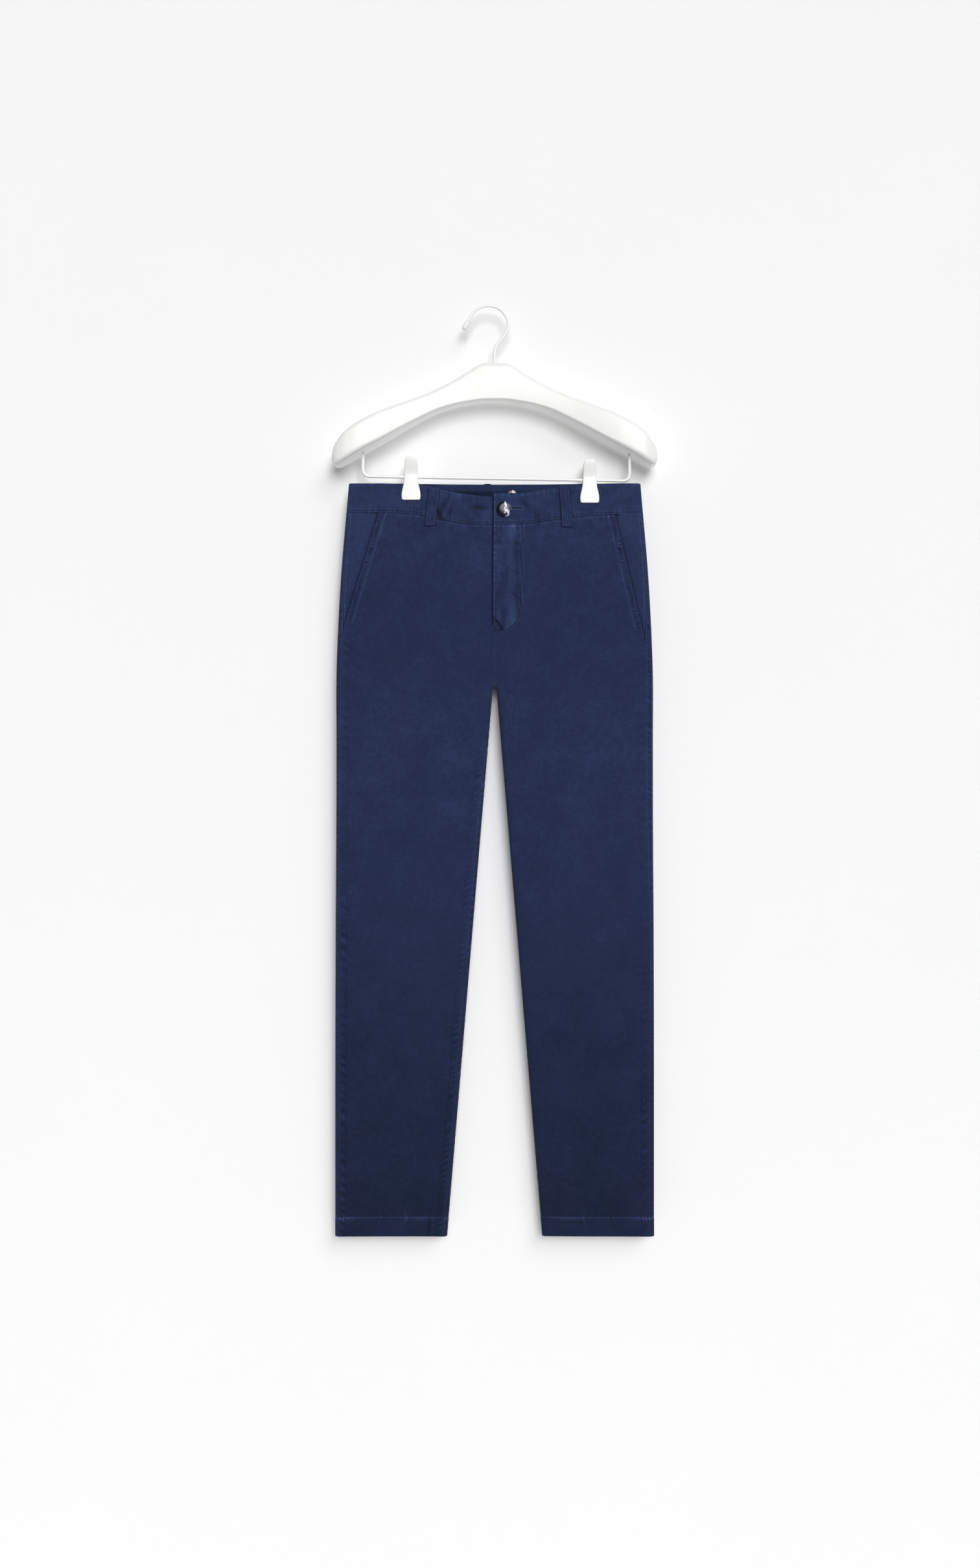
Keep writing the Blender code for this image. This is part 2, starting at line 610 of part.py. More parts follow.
NECK_TOP_Z = HANGER_ROWS[0][1] * MM
HOOK_CENTRE = Vector((-3.1 * MM, 0, -25.2 * MM))
HOOK_RADIUS = 27.4 * MM      # to the middle of the wire
HOOK_WIRE_RADIUS = 2.0 * MM
HOOK_SOCKET_DEPTH = 16 * MM
HOOK_OPEN_ANGLE = 160        # where the crook's arc ends, from +X
HOOK_STEM_Z = -61 * MM       # the stem is upright from here down
HOOK_BEND = [Vector((x, 0, z)) * MM for x, z in ((22.6, -31.5), (18.2, -39), (12.2, -46.5), (7.6, -53))]
HOOK_TIP_HEADING = Vector((-0.5, 0, -0.866)).normalized()
HOOK_FREE_END = (HOOK_CENTRE + HOOK_TIP_HEADING * 2.5 * MM + HOOK_RADIUS * Vector(
    (math.cos(math.radians(HOOK_OPEN_ANGLE)), 0, math.sin(math.radians(HOOK_OPEN_ANGLE)))))
TIP_LENGTH = 14 * MM
TIP_RADIUS = 3.6 * MM

BAR_RIGHT_END = Vector((-174.2 * MM, 0, -231 * MM))
BAR_LEFT_END = Vector((189.6 * MM, 0, -237 * MM))
BAR_BEND_RADIUS = 9 * MM
BAR_SOCKET_DEPTH = 9 * MM

# A clip jaw's outline, in mm: distance below its top and half width
JAW_DOWN, JAW_HALF_WIDTH = np.array([
    (0, 4.6), (1.3, 6.6), (4, 8.0), (12, 8.6), (24, 9.1), (35, 9.9), (43, 11.6), (48, 12.6),
    (55, 12.7), (57.6, 11.9), (58.4, 10.4),
]).T * MM
JAW_TOP_ABOVE_BAR = 26.8 * MM
JAW_THICKNESS = 2.4 * MM
JAW_SEAT = 3.1 * MM + 2 * GAP  # the pinched waist, then the clearance
JAW_HANDLE_START = 24 * MM   # the jaw leans out above this distance from its top
JAW_HANDLE_LEAN = 6 * MM
JAW_CROWN = 0.5 * MM         # how much thinner a jaw is at its sides
SPRING_RADIUS = 3.05 * MM
SPRING_LENGTH = 13 * MM


def hanger_body(name):
    """Lofted rounded sections, drilled underneath for the bar and on top for the hook."""
    rows = [dict(zip(HANGER_COLUMNS, row)) for row in HANGER_ROWS]
    stations = [(-row["out"], row) for row in reversed(rows[1:])] + [(row["out"], row) for row in rows]
    bm = bmesh.new()
    rings = []
    for out, row in stations:
        middle = (row["top"] + row["bottom"]) / 2
        half_height = (row["top"] - row["bottom"]) / 2
        ring = []
        for step in range(BODY_SECTION_POINTS):
            angle = 2 * math.pi * (step + 0.5) / BODY_SECTION_POINTS
            cos, sin = math.cos(angle), math.sin(angle)
            y = math.copysign(abs(cos) ** HANGER_CORNER, cos) * row["half_depth"]
            z = math.copysign(abs(sin) ** HANGER_CORNER, sin) * half_height + middle
            ring.append(bm.verts.new((CENTRE_X + out * MM, y * MM, z * MM)))
        rings.append(ring)
    for ring, following in zip(rings, rings[1:]):
        for step in range(BODY_SECTION_POINTS):
            other = (step + 1) % BODY_SECTION_POINTS
            bm.faces.new((ring[step], ring[other], following[other], following[step]))
    bm.faces.new(rings[0])
    bm.faces.new(rings[-1])
    body = add_object(name, bm, white_plastic, smooth_angle=40)
    sockets = [
        (Vector((CENTRE_X, 0, NECK_TOP_Z)), HOOK_WIRE_RADIUS, HOOK_SOCKET_DEPTH),
        (Vector((BAR_RIGHT_END.x, 0, arm_underside(BAR_RIGHT_END.x))), WIRE_RADIUS, BAR_SOCKET_DEPTH),
        (Vector((BAR_LEFT_END.x, 0, arm_underside(BAR_LEFT_END.x))), WIRE_RADIUS, BAR_SOCKET_DEPTH),
    ]
    for number, (mouth, radius, depth) in enumerate(sockets):
        drill(body, f"socket_{number}", mouth, radius + GAP, depth + GAP)
    return body


def arm_underside(x):
    """The height of the body's underside over a place across."""
    rows = np.array(HANGER_ROWS) * MM
    return float(np.interp(abs(x - CENTRE_X), rows[:, 0], rows[:, 2]))


def drill(body, name, mouth, radius, depth):
    """Cuts an upright round socket of a given depth either side of its mouth."""
    bm = bmesh.new()
    bmesh.ops.create_cone(bm, cap_ends=True, segments=12, radius1=radius, radius2=radius,
                          depth=2 * depth)
    bmesh.ops.translate(bm, vec=mouth, verts=bm.verts)
    mesh = bpy.data.meshes.new(name)
    bm.to_mesh(mesh)
    bm.free()
    cutter = bpy.data.objects.new(name, mesh)
    cutters.objects.link(cutter)
    cutter.hide_render = True
    cutter.display_type = "WIRE"
    cut = body.modifiers.new(name, "BOOLEAN")
    cut.operation = "DIFFERENCE"
    cut.object = cutter


def wire(name, points, radius, material):
    """A round wire along a run of points, with filled ends."""
    curve = bpy.data.curves.new(name, "CURVE")
    curve.dimensions = "3D"
    curve.bevel_depth = radius
    curve.bevel_resolution = 2
    curve.use_fill_caps = True
    spline = curve.splines.new("POLY")
    spline.points.add(len(points) - 1)
    for target, point in zip(spline.points, points):
        target.co = (*point, 1)
    curve.materials.append(material)
    obj = bpy.data.objects.new(name, curve)
    model.objects.link(obj)
    return obj


def arc(centre, radius, start, end, steps):
    """Points on an arc in the upright plane, angles in degrees from +X towards +Z."""
    angles = [math.radians(start + (end - start) * step / steps) for step in range(steps + 1)]
    return [centre + Vector((math.cos(a), 0, math.sin(a))) * radius for a in angles]


def hanger_hook(name):
    """The crook, its S-bend back to the middle, and the stem in the body's socket."""
    crook = [HOOK_FREE_END] + arc(HOOK_CENTRE, HOOK_RADIUS, HOOK_OPEN_ANGLE, 2, 16)
    stem = [Vector((CENTRE_X, 0, z)) for z in (HOOK_STEM_Z, NECK_TOP_Z - HOOK_SOCKET_DEPTH)]
    return wire(name, crook + HOOK_BEND + stem, HOOK_WIRE_RADIUS, white_metal)


def hook_tip(name):
    """The moulded tip on the free end of the hook."""
    shape = [(0, 1.0), (0.8, 0.93), (1, 0.72), (0.95, 0.45), (0.78, 0.12), (0.62, 0), (0, 0)]
    profile = [(share * TIP_RADIUS, rise * TIP_LENGTH) for share, rise in shape]
    start = HOOK_FREE_END + HOOK_TIP_HEADING * GAP
    return turned(name, profile, 12, start, HOOK_TIP_HEADING, white_plastic)


def hanger_bar(name):
    """The bent wire that carries the clips, its ends up in the body's sockets."""
    right_corner = arc(BAR_RIGHT_END + Vector((BAR_BEND_RADIUS, 0, BAR_BEND_RADIUS)),
                       BAR_BEND_RADIUS, 180, 270, 4)
    left_corner = arc(BAR_LEFT_END + Vector((-BAR_BEND_RADIUS, 0, BAR_BEND_RADIUS)),
                      BAR_BEND_RADIUS, 270, 360, 4)
    tops = [Vector((end.x, 0, arm_underside(end.x) + BAR_SOCKET_DEPTH))
            for end in (BAR_RIGHT_END, BAR_LEFT_END)]
    return wire(name, [tops[0]] + right_corner + left_corner + [tops[1]], WIRE_RADIUS, white_metal)


def bar_height(x):
    """The height of the bar's middle at a place across."""
    share = (x - BAR_RIGHT_END.x) / (BAR_LEFT_END.x - BAR_RIGHT_END.x)
    return BAR_RIGHT_END.z + (BAR_LEFT_END.z - BAR_RIGHT_END.z) * share


def clip_jaw(name, x, face):
    """One jaw: a bell-shaped plate, upright on the cloth and leaning out at the handle."""
    top = bar_height(x) + JAW_TOP_ABOVE_BAR
    down = JAW_DOWN[:, None]
    columns = np.array([-1, -0.62, 0, 0.62, 1])[None, :]
    across = x + columns * JAW_HALF_WIDTH[:, None]
    lean = JAW_HANDLE_LEAN * smooth(-down, -JAW_HANDLE_START, 0) ** 0.8
    crown = JAW_CROWN * columns ** 2
    seat = JAW_SEAT + lean + 0 * columns
    skin = seat + JAW_THICKNESS - crown
    z = top - down + 0 * columns
    inner = np.stack([across, face * seat, z], axis=-1)
    outer = np.stack([across, face * skin, z], axis=-1)
    return wall(name, outer, inner, white_plastic)


def clip_spring(name, x):
    """The sprung sleeve between the jaws, round the bar."""
    half = SPRING_LENGTH / 2
    bore = WIRE_RADIUS + GAP
    profile = [(SPRING_RADIUS, half), (SPRING_RADIUS, -half), (bore, -half), (bore, half)]
    along_bar = (BAR_LEFT_END - BAR_RIGHT_END).normalized()
    middle = Vector((x, 0, bar_height(x)))
    return turned(name, profile, 14, middle, along_bar, white_metal, ring=True)


# ------------------------------------------------------------------ materials

def finish(name, colour, roughness, metallic=0.0):
    """A plain Principled material."""
    material = bpy.data.materials.new(name)
    material.use_nodes = True
    shader = material.node_tree.nodes["Principled BSDF"]
    shader.inputs["Base Color"].default_value = (*colour, 1)
    shader.inputs["Roughness"].default_value = roughness
    shader.inputs["Metallic"].default_value = metallic
    return material


# ---------------------------------------------------------------- the assembly

for old in list(bpy.data.objects):
    bpy.data.objects.remove(old, do_unlink=True)

model = bpy.data.collections.new("chino_trousers")
cutters = bpy.data.collections.new("cutters")
for collection in (model, cutters):
    bpy.context.scene.collection.children.link(collection)

navy_twill = finish("navy_twill", (0.019, 0.027, 0.075), 0.85)
zip_tape = finish("zip_tape", (0.012, 0.016, 0.04), 0.7)
dark_horn = finish("dark_horn", (0.012, 0.010, 0.012), 0.12)
white_plastic = finish("white_plastic", (0.86, 0.86, 0.85), 0.45)
white_metal = finish("white_metal", (0.84, 0.84, 0.83), 0.35)

SIDE_NAMES = {RIGHT: "right", LEFT: "left"}
for wearer_side, side_name in SIDE_NAMES.items():
    front_panel(wearer_side, f"front_{side_name}")
    back_panel(wearer_side, f"back_{side_name}")
    pocket_facing(wearer_side, f"pocket_facing_{side_name}")
    waistband_front(wearer_side, f"waistband_front_{side_name}")
waistband_back("waistband_back")

zip_sunk = WAISTBAND_THICKNESS + GAP + CLOTH_THICKNESS + GAP
shield_sunk = zip_sunk + ZIP_THICKNESS + GAP
fly_strip("zip", ZIP_OUTER_X, ZIP_WIDTH, zip_sunk, ZIP_THICKNESS, ZIP_LENGTH, zip_tape)
fly_strip("fly_shield", FLY_SHIELD_OUTER_X, FLY_SHIELD_WIDTH, shield_sunk, FLY_SHIELD_THICKNESS,
          ZIP_LENGTH + 6 * MM, navy_twill)

for loop_name, loop_face, loop_top, loop_bottom, loop_above in LOOP_ROWS:
    belt_loop(f"belt_loop_{loop_name}", loop_face, loop_top * MM, loop_bottom * MM, loop_above * MM)

button_seat, way_in = surface_seat(LEFT, BUTTON_ACROSS, BUTTON_Z, -GAP)
button("button", BUTTON_RADIUS, BUTTON_THICKNESS, button_seat, -way_in)
inner_seat, way_in = surface_seat(LEFT, INNER_BUTTON_ACROSS, INNER_BUTTON_TOP_Z - INNER_BUTTON_RADIUS,
                                  2 * (WAISTBAND_THICKNESS + GAP))
button("inner_button", INNER_BUTTON_RADIUS, INNER_BUTTON_THICKNESS, inner_seat, way_in)

hanger_body("hanger_body")
hanger_hook("hanger_hook")
hook_tip("hook_tip")
hanger_bar("hanger_bar")
for wearer_side, side_name in SIDE_NAMES.items():
    clip_jaw(f"clip_{side_name}_front_jaw", CLIP_X[wearer_side], FRONT)
    clip_jaw(f"clip_{side_name}_back_jaw", CLIP_X[wearer_side], BACK)
    clip_spring(f"clip_{side_name}_spring", CLIP_X[wearer_side])
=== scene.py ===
"""Chino trousers hanging from the two clips of a clip hanger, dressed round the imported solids.

Metres, +Z up. The origin is the bearing point inside the hanger's hook, the front
of the trousers faces -Y, and +X is the wearer's left.
"""

import math

import bmesh
import bpy
import numpy as np
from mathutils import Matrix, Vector


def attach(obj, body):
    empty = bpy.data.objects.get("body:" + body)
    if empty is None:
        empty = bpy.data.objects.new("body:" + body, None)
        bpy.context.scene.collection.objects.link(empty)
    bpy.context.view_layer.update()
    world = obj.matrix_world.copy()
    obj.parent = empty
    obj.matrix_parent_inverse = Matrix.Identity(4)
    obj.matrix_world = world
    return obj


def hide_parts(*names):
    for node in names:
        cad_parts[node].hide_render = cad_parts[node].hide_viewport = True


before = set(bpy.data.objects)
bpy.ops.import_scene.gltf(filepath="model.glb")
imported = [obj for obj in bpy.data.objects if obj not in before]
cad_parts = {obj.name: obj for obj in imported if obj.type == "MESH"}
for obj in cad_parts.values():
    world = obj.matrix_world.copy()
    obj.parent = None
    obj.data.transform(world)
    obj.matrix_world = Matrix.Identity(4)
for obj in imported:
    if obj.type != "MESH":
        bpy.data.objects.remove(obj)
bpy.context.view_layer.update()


# ---------------------------------------------------------------- hanger body
# The arms and the neck: one moulding of white ABS, shaped like a pair of shoulders
# and deepest near its ends. Its mould was spark-eroded, so the skin is a fine satin.

MM = 0.001
CENTRE_X = 5.5 * MM          # the centre line of the neck and of the trousers

# In mm: distance out from the centre, height of the top and of the underside, half the
# depth, and the rounding of the lower edges
HANGER_OUT, HANGER_TOP, HANGER_BOTTOM, HANGER_HALF_DEPTH, HANGER_EDGE_ROUND = np.array([
    (0, -78, -128, 13, 2),
    (18, -78.4, -128.4, 13, 2),
    (31, -86, -130.3, 13.2, 2),
    (54, -100.2, -134.8, 14, 2.2),
    (78, -113, -142.7, 15.5, 2.5),
    (105, -125, -156, 18, 2.8),
    (130, -134.6, -169.8, 21.5, 3.2),
    (155, -144.6, -184.2, 25, 4),
    (176, -155, -195.8, 27.2, 5.5),
    (195, -166.5, -206.8, 27.4, 7.5),
    (209, -179, -215, 25.2, 9.5),
    (216, -188.5, -217, 21.5, 9.5),
    (220.5, -196.5, -215, 16, 7),
    (222.6, -204, -211, 9, 2),
]).T * MM
HANGER_TOP_ROUND = 7 * MM
HANGER_END_ROUND = 5 * MM
HANGER_MOST_ROUND = 0.4      # no edge's rounding takes more than this share of the height
HANGER_STATIONS = 181
HANGER_CORNER_POINTS = 7
ABS_GRAIN = 0.5 * MM         # the eroded grain is finer: drawn this coarse so that it shows


def linear(colour):
    """An sRGB hex colour as the linear colour that a shader takes."""
    channels = [int(colour[start:start + 2], 16) / 255 for start in (1, 3, 5)]
    return (*[c / 12.92 if c <= 0.04045 else ((c + 0.055) / 1.055) ** 2.4 for c in channels], 1)


def add_node(tree, kind, inputs=None, **settings):
    """Adds a node with its settings, and fills its sockets with values or links."""
    node = tree.nodes.new(kind)
    for setting, value in settings.items():
        setattr(node, setting, value)
    for socket, value in (inputs or {}).items():
        if isinstance(value, bpy.types.NodeSocket):
            tree.links.new(value, node.inputs[socket])
        else:
            node.inputs[socket].default_value = value
    return node


def new_material(name, finish):
    """A material of one Principled shader, with the values that are the same all over."""
    material = bpy.data.materials.new(name)
    material.use_nodes = True
    shader = material.node_tree.nodes["Principled BSDF"]
    for socket, value in finish.items():
        shader.inputs[socket].default_value = value
    return material, material.node_tree, shader


def mottled(name, finish, colours, patches, grain=None, strength=0, height=0):
    """A material that drifts between two colours, with a grain raised a little from its skin."""
    material, tree, shader = new_material(name, finish)
    place = add_node(tree, "ShaderNodeTexCoord").outputs["Object"]
    patch = add_node(tree, "ShaderNodeTexNoise", {"Vector": place, **patches})
    dark, pale = colours
    tint = add_node(tree, "ShaderNodeMix", {0: patch.outputs[0], 6: linear(dark), 7: linear(pale)},
                    data_type="RGBA")
    tree.links.new(tint.outputs[2], shader.inputs["Base Color"])
    if grain:
        skin = add_node(tree, "ShaderNodeTexNoise", {"Vector": place, **grain})
        bump = add_node(tree, "ShaderNodeBump", {"Height": skin.outputs[0], "Strength": strength,
                                                 "Distance": height})
        tree.links.new(bump.outputs[0], shader.inputs["Normal"])
    return material


def in_scene(name, data):
    """A new object at the origin of the scene."""
    obj = bpy.data.objects.new(name, data)
    bpy.context.scene.collection.objects.link(obj)
    return obj


def new_piece(name, points, faces, material, sharp_angle=35):
    """A closed piece of the object, smooth but for its edges, faces outwards."""
    mesh = bpy.data.meshes.new(name)
    mesh.from_pydata(points, [], faces)
    bm = bmesh.new()
    bm.from_mesh(mesh)
    bmesh.ops.recalc_face_normals(bm, faces=bm.faces)
    bm.to_mesh(mesh)
    bm.free()
    mesh.materials.append(material)
    mesh.shade_smooth()
    mesh.set_sharp_from_angle(angle=math.radians(sharp_angle))
    return in_scene(name, mesh)


def lofted(name, rings, material, sharp_angle=35):
    """A closed skin over a run of rings, with both ends filled."""
    count, around = rings.shape[:2]
    index = np.arange(count * around).reshape(count, around)
    beside = np.roll(index, -1, axis=1)
    quads = np.stack([index[:-1], beside[:-1], beside[1:], index[1:]], axis=-1).reshape(-1, 4)
    faces = quads.tolist() + [index[0, ::-1].tolist(), index[-1].tolist()]
    return new_piece(name, rings.reshape(-1, 3), faces, material, sharp_angle)


def dress(piece, slot, *nodes):
    """The piece hangs with the body and stands for its solids, which are hidden. The slot is not used."""
    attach(piece, "root")
    if nodes:
        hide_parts(*nodes)


def curve_through(at, places, values):
    """A smooth curve through a table's rows."""
    slopes = np.gradient(values, places)
    at = np.clip(at, places[0], places[-1])
    row = np.clip(np.searchsorted(places, at, side="right") - 1, 0, len(places) - 2)
    span = places[row + 1] - places[row]
    part = (at - places[row]) / span
    rest = 1 - part
    return ((1 + 2 * part) * rest ** 2 * values[row] + part * rest ** 2 * span * slopes[row]
            + part ** 2 * (3 - 2 * part) * values[row + 1] - part ** 2 * rest * span * slopes[row + 1])


# ABS, moulded and left satin: a soft even white with a fine grain
abs_plastic = mottled("moulded_abs", {"Roughness": 0.42, "IOR": 1.53}, ("#e6e6e4", "#eaeae9"),
                      {"Scale": 14.0, "Detail": 2.0}, {"Scale": 1 / ABS_GRAIN, "Detail": 2.0},
                      strength=0.12, height=0.08 * MM)

out = HANGER_OUT[-1] * np.sin(np.linspace(-math.pi / 2, math.pi / 2, HANGER_STATIONS))
high = curve_through(np.abs(out), HANGER_OUT, HANGER_TOP)
low = curve_through(np.abs(out), HANGER_OUT, HANGER_BOTTOM)
deep = curve_through(np.abs(out), HANGER_OUT, HANGER_HALF_DEPTH)
soft = curve_through(np.abs(out), HANGER_OUT, HANGER_EDGE_ROUND)
end_share = np.clip((np.abs(out) - HANGER_OUT[-1] + HANGER_END_ROUND) / HANGER_END_ROUND, 0, 0.995)
shrink = np.sqrt(1 - end_share ** 2)
rings = []
for x, top, bottom, half_depth, edge_round, share in zip(out, high, low, deep, soft, shrink):
    crown, edge_round = (min(radius, HANGER_MOST_ROUND * (top - bottom))
                         for radius in (HANGER_TOP_ROUND, edge_round))
    middle = (top + bottom) / 2
    corners = [(-1, top - crown, crown, 180), (1, top - crown, crown, 90),
               (1, bottom + edge_round, edge_round, 0), (-1, bottom + edge_round, edge_round, -90)]
    ring = []
    for depth_sign, z, radius, start in corners:
        for angle in np.radians(start - np.linspace(0, 90, HANGER_CORNER_POINTS)):
            y = depth_sign * (half_depth - radius) + radius * math.cos(angle)
            above_middle = z + radius * math.sin(angle) - middle
            ring.append((CENTRE_X + x, share * y, middle + share * above_middle))
    rings.append(ring)
hanger = lofted("moulded_hanger_body", np.array(rings), abs_plastic, sharp_angle=50)
dress(hanger, "white_plastic", "hanger_body")


# ---------------------------------------------------------------- hanger hook
# A crook bent from 4 mm steel wire, powder-coated white, its stem pressed into the
# neck. A moulded tip covers the cut end of the wire.

HOOK_CENTRE = Vector((-3.1 * MM, 0, -25.2 * MM))
HOOK_RADIUS = 27.4 * MM
HOOK_WIRE_RADIUS = 2.0 * MM
HOOK_OPEN_ANGLE = 160
HOOK_BEND = [Vector((x, 0, z)) * MM for x, z in ((22.6, -31.5), (18.2, -39), (12.2, -46.5), (7.6, -53))]
HOOK_STEM_TOP, HOOK_STEM_END = -61 * MM, -94 * MM
HOOK_TIP_HEADING = Vector((-0.5, 0, -0.866)).normalized()
HOOK_STRAIGHT_END = 2.5 * MM
HOOK_FREE_END = (HOOK_CENTRE + HOOK_TIP_HEADING * HOOK_STRAIGHT_END + HOOK_RADIUS * Vector(
    (math.cos(math.radians(HOOK_OPEN_ANGLE)), 0, math.sin(math.radians(HOOK_OPEN_ANGLE)))))
TIP_LENGTH = 14 * MM
TIP_RADIUS = 3.6 * MM
SEAM_GAP = 0.3 * MM
POLE_RADIUS = 0.02 * MM      # a turned piece's poles are closed by faces this small


def arc(centre, radius, start, end, steps):
    """Points on an arc in the upright plane, angles in degrees from +X towards +Z."""
    angles = [math.radians(start + (end - start) * step / steps) for step in range(steps + 1)]
    return [centre + Vector((math.cos(angle), 0, math.sin(angle))) * radius for angle in angles]


def group(name, sockets):
    """A Geometry Nodes tree with named inputs, and its input and output nodes."""
    tree = bpy.data.node_groups.new(name, "GeometryNodeTree")
    for socket, (kind, value) in sockets.items():
        added = tree.interface.new_socket(name=socket, in_out="INPUT", socket_type="NodeSocket" + kind)
        if value is not None:
            added.default_value = value
    tree.interface.new_socket(name="Geometry", in_out="OUTPUT", socket_type="NodeSocketGeometry")
    return tree, tree.nodes.new("NodeGroupInput").outputs, tree.nodes.new("NodeGroupOutput")


def close_tree(tree, output, geometry, material):
    """Ends a tree in real geometry with its material."""
    real = add_node(tree, "GeometryNodeRealizeInstances", {"Geometry": geometry})
    painted = add_node(tree, "GeometryNodeSetMaterial", {"Geometry": real.outputs[0], "Material": material})
    tree.links.new(painted.outputs[0], output.inputs[0])


def grown(name, tree, source, sizes):
    """Runs a tree on a source mesh and keeps the result as a plain mesh."""
    obj = in_scene(name, source)
    modifier = obj.modifiers.new("grow", "NODES")
    modifier.node_group = tree
    for item in tree.interface.items_tree:
        if item.in_out == "INPUT" and item.name in sizes:
            modifier[item.identifier] = sizes[item.name]
    evaluated = obj.evaluated_get(bpy.context.evaluated_depsgraph_get())
    mesh = bpy.data.meshes.new_from_object(evaluated)
    obj.modifiers.remove(modifier)
    obj.data = mesh
    mesh.shade_smooth()
    mesh.set_sharp_from_angle(angle=math.radians(40))
    return obj


def wire_tree(material):
    """Sweeps a round wire along the edges of the source mesh."""
    tree, given, output = group("wire_along_path", {
        "Geometry": ("Geometry", None), "Radius": ("Float", 0.002), "Sides": ("Int", 16)})
    path = add_node(tree, "GeometryNodeMeshToCurve", {0: given["Geometry"]})
    ring = add_node(tree, "GeometryNodeCurvePrimitiveCircle",
                    {"Radius": given["Radius"], "Resolution": given["Sides"]})
    swept = add_node(tree, "GeometryNodeCurveToMesh", {
        "Curve": path.outputs[0], "Profile Curve": ring.outputs[0], "Fill Caps": True})
    close_tree(tree, output, swept.outputs[0], material)
    return tree


def path_mesh(name, points, step):
    """A run of edges on a smooth curve through points in the upright plane."""
    points = np.array([tuple(point) for point in points])
    length = np.concatenate([[0], np.cumsum(np.linalg.norm(np.diff(points, axis=0), axis=1))])
    at = np.linspace(0, length[-1], int(length[-1] / step))
    curve = np.stack([curve_through(at, length, points[:, axis]) for axis in range(3)], axis=-1)
    mesh = bpy.data.meshes.new(name)
    mesh.from_pydata(curve, [(place, place + 1) for place in range(len(at) - 1)], [])
    return mesh


def turned(name, profile, seat, heading, steps, material):
    """A profile of radius and height, turned about an axis along heading."""
    side = heading.orthogonal().normalized()
    other = heading.cross(side)
    spokes = [side * math.cos(angle) + other * math.sin(angle)
              for angle in np.linspace(0, 2 * math.pi, steps, endpoint=False)]
    rings = [[seat + heading * height + spoke * max(radius, POLE_RADIUS) for spoke in spokes]
             for radius, height in profile]
    return lofted(name, np.array(rings), material, sharp_angle=60)


# Steel wire, powder-coated white: a little glossier than the plastic, with a soft orange peel
powder_coat = mottled("powder_coated_wire", {"Roughness": 0.32, "IOR": 1.5}, ("#e9e9e7", "#efefee"),
                      {"Scale": 90.0}, {"Scale": 1 / (0.9 * MM)}, strength=0.15, height=0.06 * MM)
wire_sweep = wire_tree(powder_coat)
crook = [HOOK_FREE_END] + arc(HOOK_CENTRE, HOOK_RADIUS, HOOK_OPEN_ANGLE, 2, 32)
stem_top, stem_end = (Vector((CENTRE_X, 0, z)) for z in (HOOK_STEM_TOP, HOOK_STEM_END))
hook_points = crook + HOOK_BEND + [stem_top, stem_top.lerp(stem_end, 0.4), stem_end]
hook = grown("wire_hook", wire_sweep, path_mesh("hook_path", hook_points, 1.2 * MM),
             {"Radius": HOOK_WIRE_RADIUS, "Sides": 20})
dress(hook, "white_metal", "hanger_hook")

# The tip's outline, as shares of its radius and length
TIP_SHAPE = [(0, 0), (0.5, 0), (0.62, 0.005), (0.7, 0.04), (0.78, 0.12), (0.88, 0.28), (0.95, 0.45),
             (1, 0.62), (1, 0.76), (0.96, 0.84), (0.86, 0.91), (0.68, 0.96), (0.4, 0.99), (0, 1)]
tip = turned("moulded_hook_tip", [(share * TIP_RADIUS, rise * TIP_LENGTH) for share, rise in TIP_SHAPE],
             HOOK_FREE_END + HOOK_TIP_HEADING * SEAM_GAP, HOOK_TIP_HEADING, 24, abs_plastic)
dress(tip, "white_plastic", "hook_tip")


# ----------------------------------------------------------------- hanger bar
# The same coated wire, bent square at both ends and pushed up into sockets in the
# underside of the arms. The clips slide along it.

BAR_RIGHT_END = Vector((-174.2 * MM, 0, -231 * MM))
BAR_LEFT_END = Vector((189.6 * MM, 0, -237 * MM))
BAR_BEND_RADIUS = 9 * MM
BAR_RADIUS = 2.05 * MM
BAR_SOCKET_DEPTH = 9 * MM


def arm_underside(x):
    """The height of the body's underside over a place across."""
    return float(np.interp(abs(x - CENTRE_X), HANGER_OUT, HANGER_BOTTOM))


def bar_height(x):
    """The height of the bar's middle at a place across."""
    share = (x - BAR_RIGHT_END.x) / (BAR_LEFT_END.x - BAR_RIGHT_END.x)
    return BAR_RIGHT_END.z + (BAR_LEFT_END.z - BAR_RIGHT_END.z) * share


def upright(end, bend_end):
    """The bar's end, from its top in the arm's socket down towards the bend."""
    top = Vector((end.x, 0, arm_underside(end.x) + BAR_SOCKET_DEPTH))
    return [top, top.lerp(bend_end, 0.7)]


right_bend = arc(BAR_RIGHT_END + Vector((1, 0, 1)) * BAR_BEND_RADIUS, BAR_BEND_RADIUS, 180, 270, 8)
left_bend = arc(BAR_LEFT_END + Vector((-1, 0, 1)) * BAR_BEND_RADIUS, BAR_BEND_RADIUS, 270, 360, 8)
straight = [right_bend[-1].lerp(left_bend[0], share) for share in (0.02, 0.06, 0.5, 0.94, 0.98)]
bar_path = (upright(BAR_RIGHT_END, right_bend[0]) + right_bend + straight
            + left_bend + upright(BAR_LEFT_END, left_bend[-1])[::-1])
bar = grown("wire_bar", wire_sweep, path_mesh("bar_path", bar_path, 1.6 * MM),
            {"Radius": BAR_RADIUS, "Sides": 16})
dress(bar, "white_metal", "hanger_bar")


# ---------------------------------------------------------------------- clips
# Two moulded ABS jaws a clip, bell-shaped, with their handles leaning apart over the
# bar. A coil of spring wire round the bar, between them, keeps them shut on the waist.

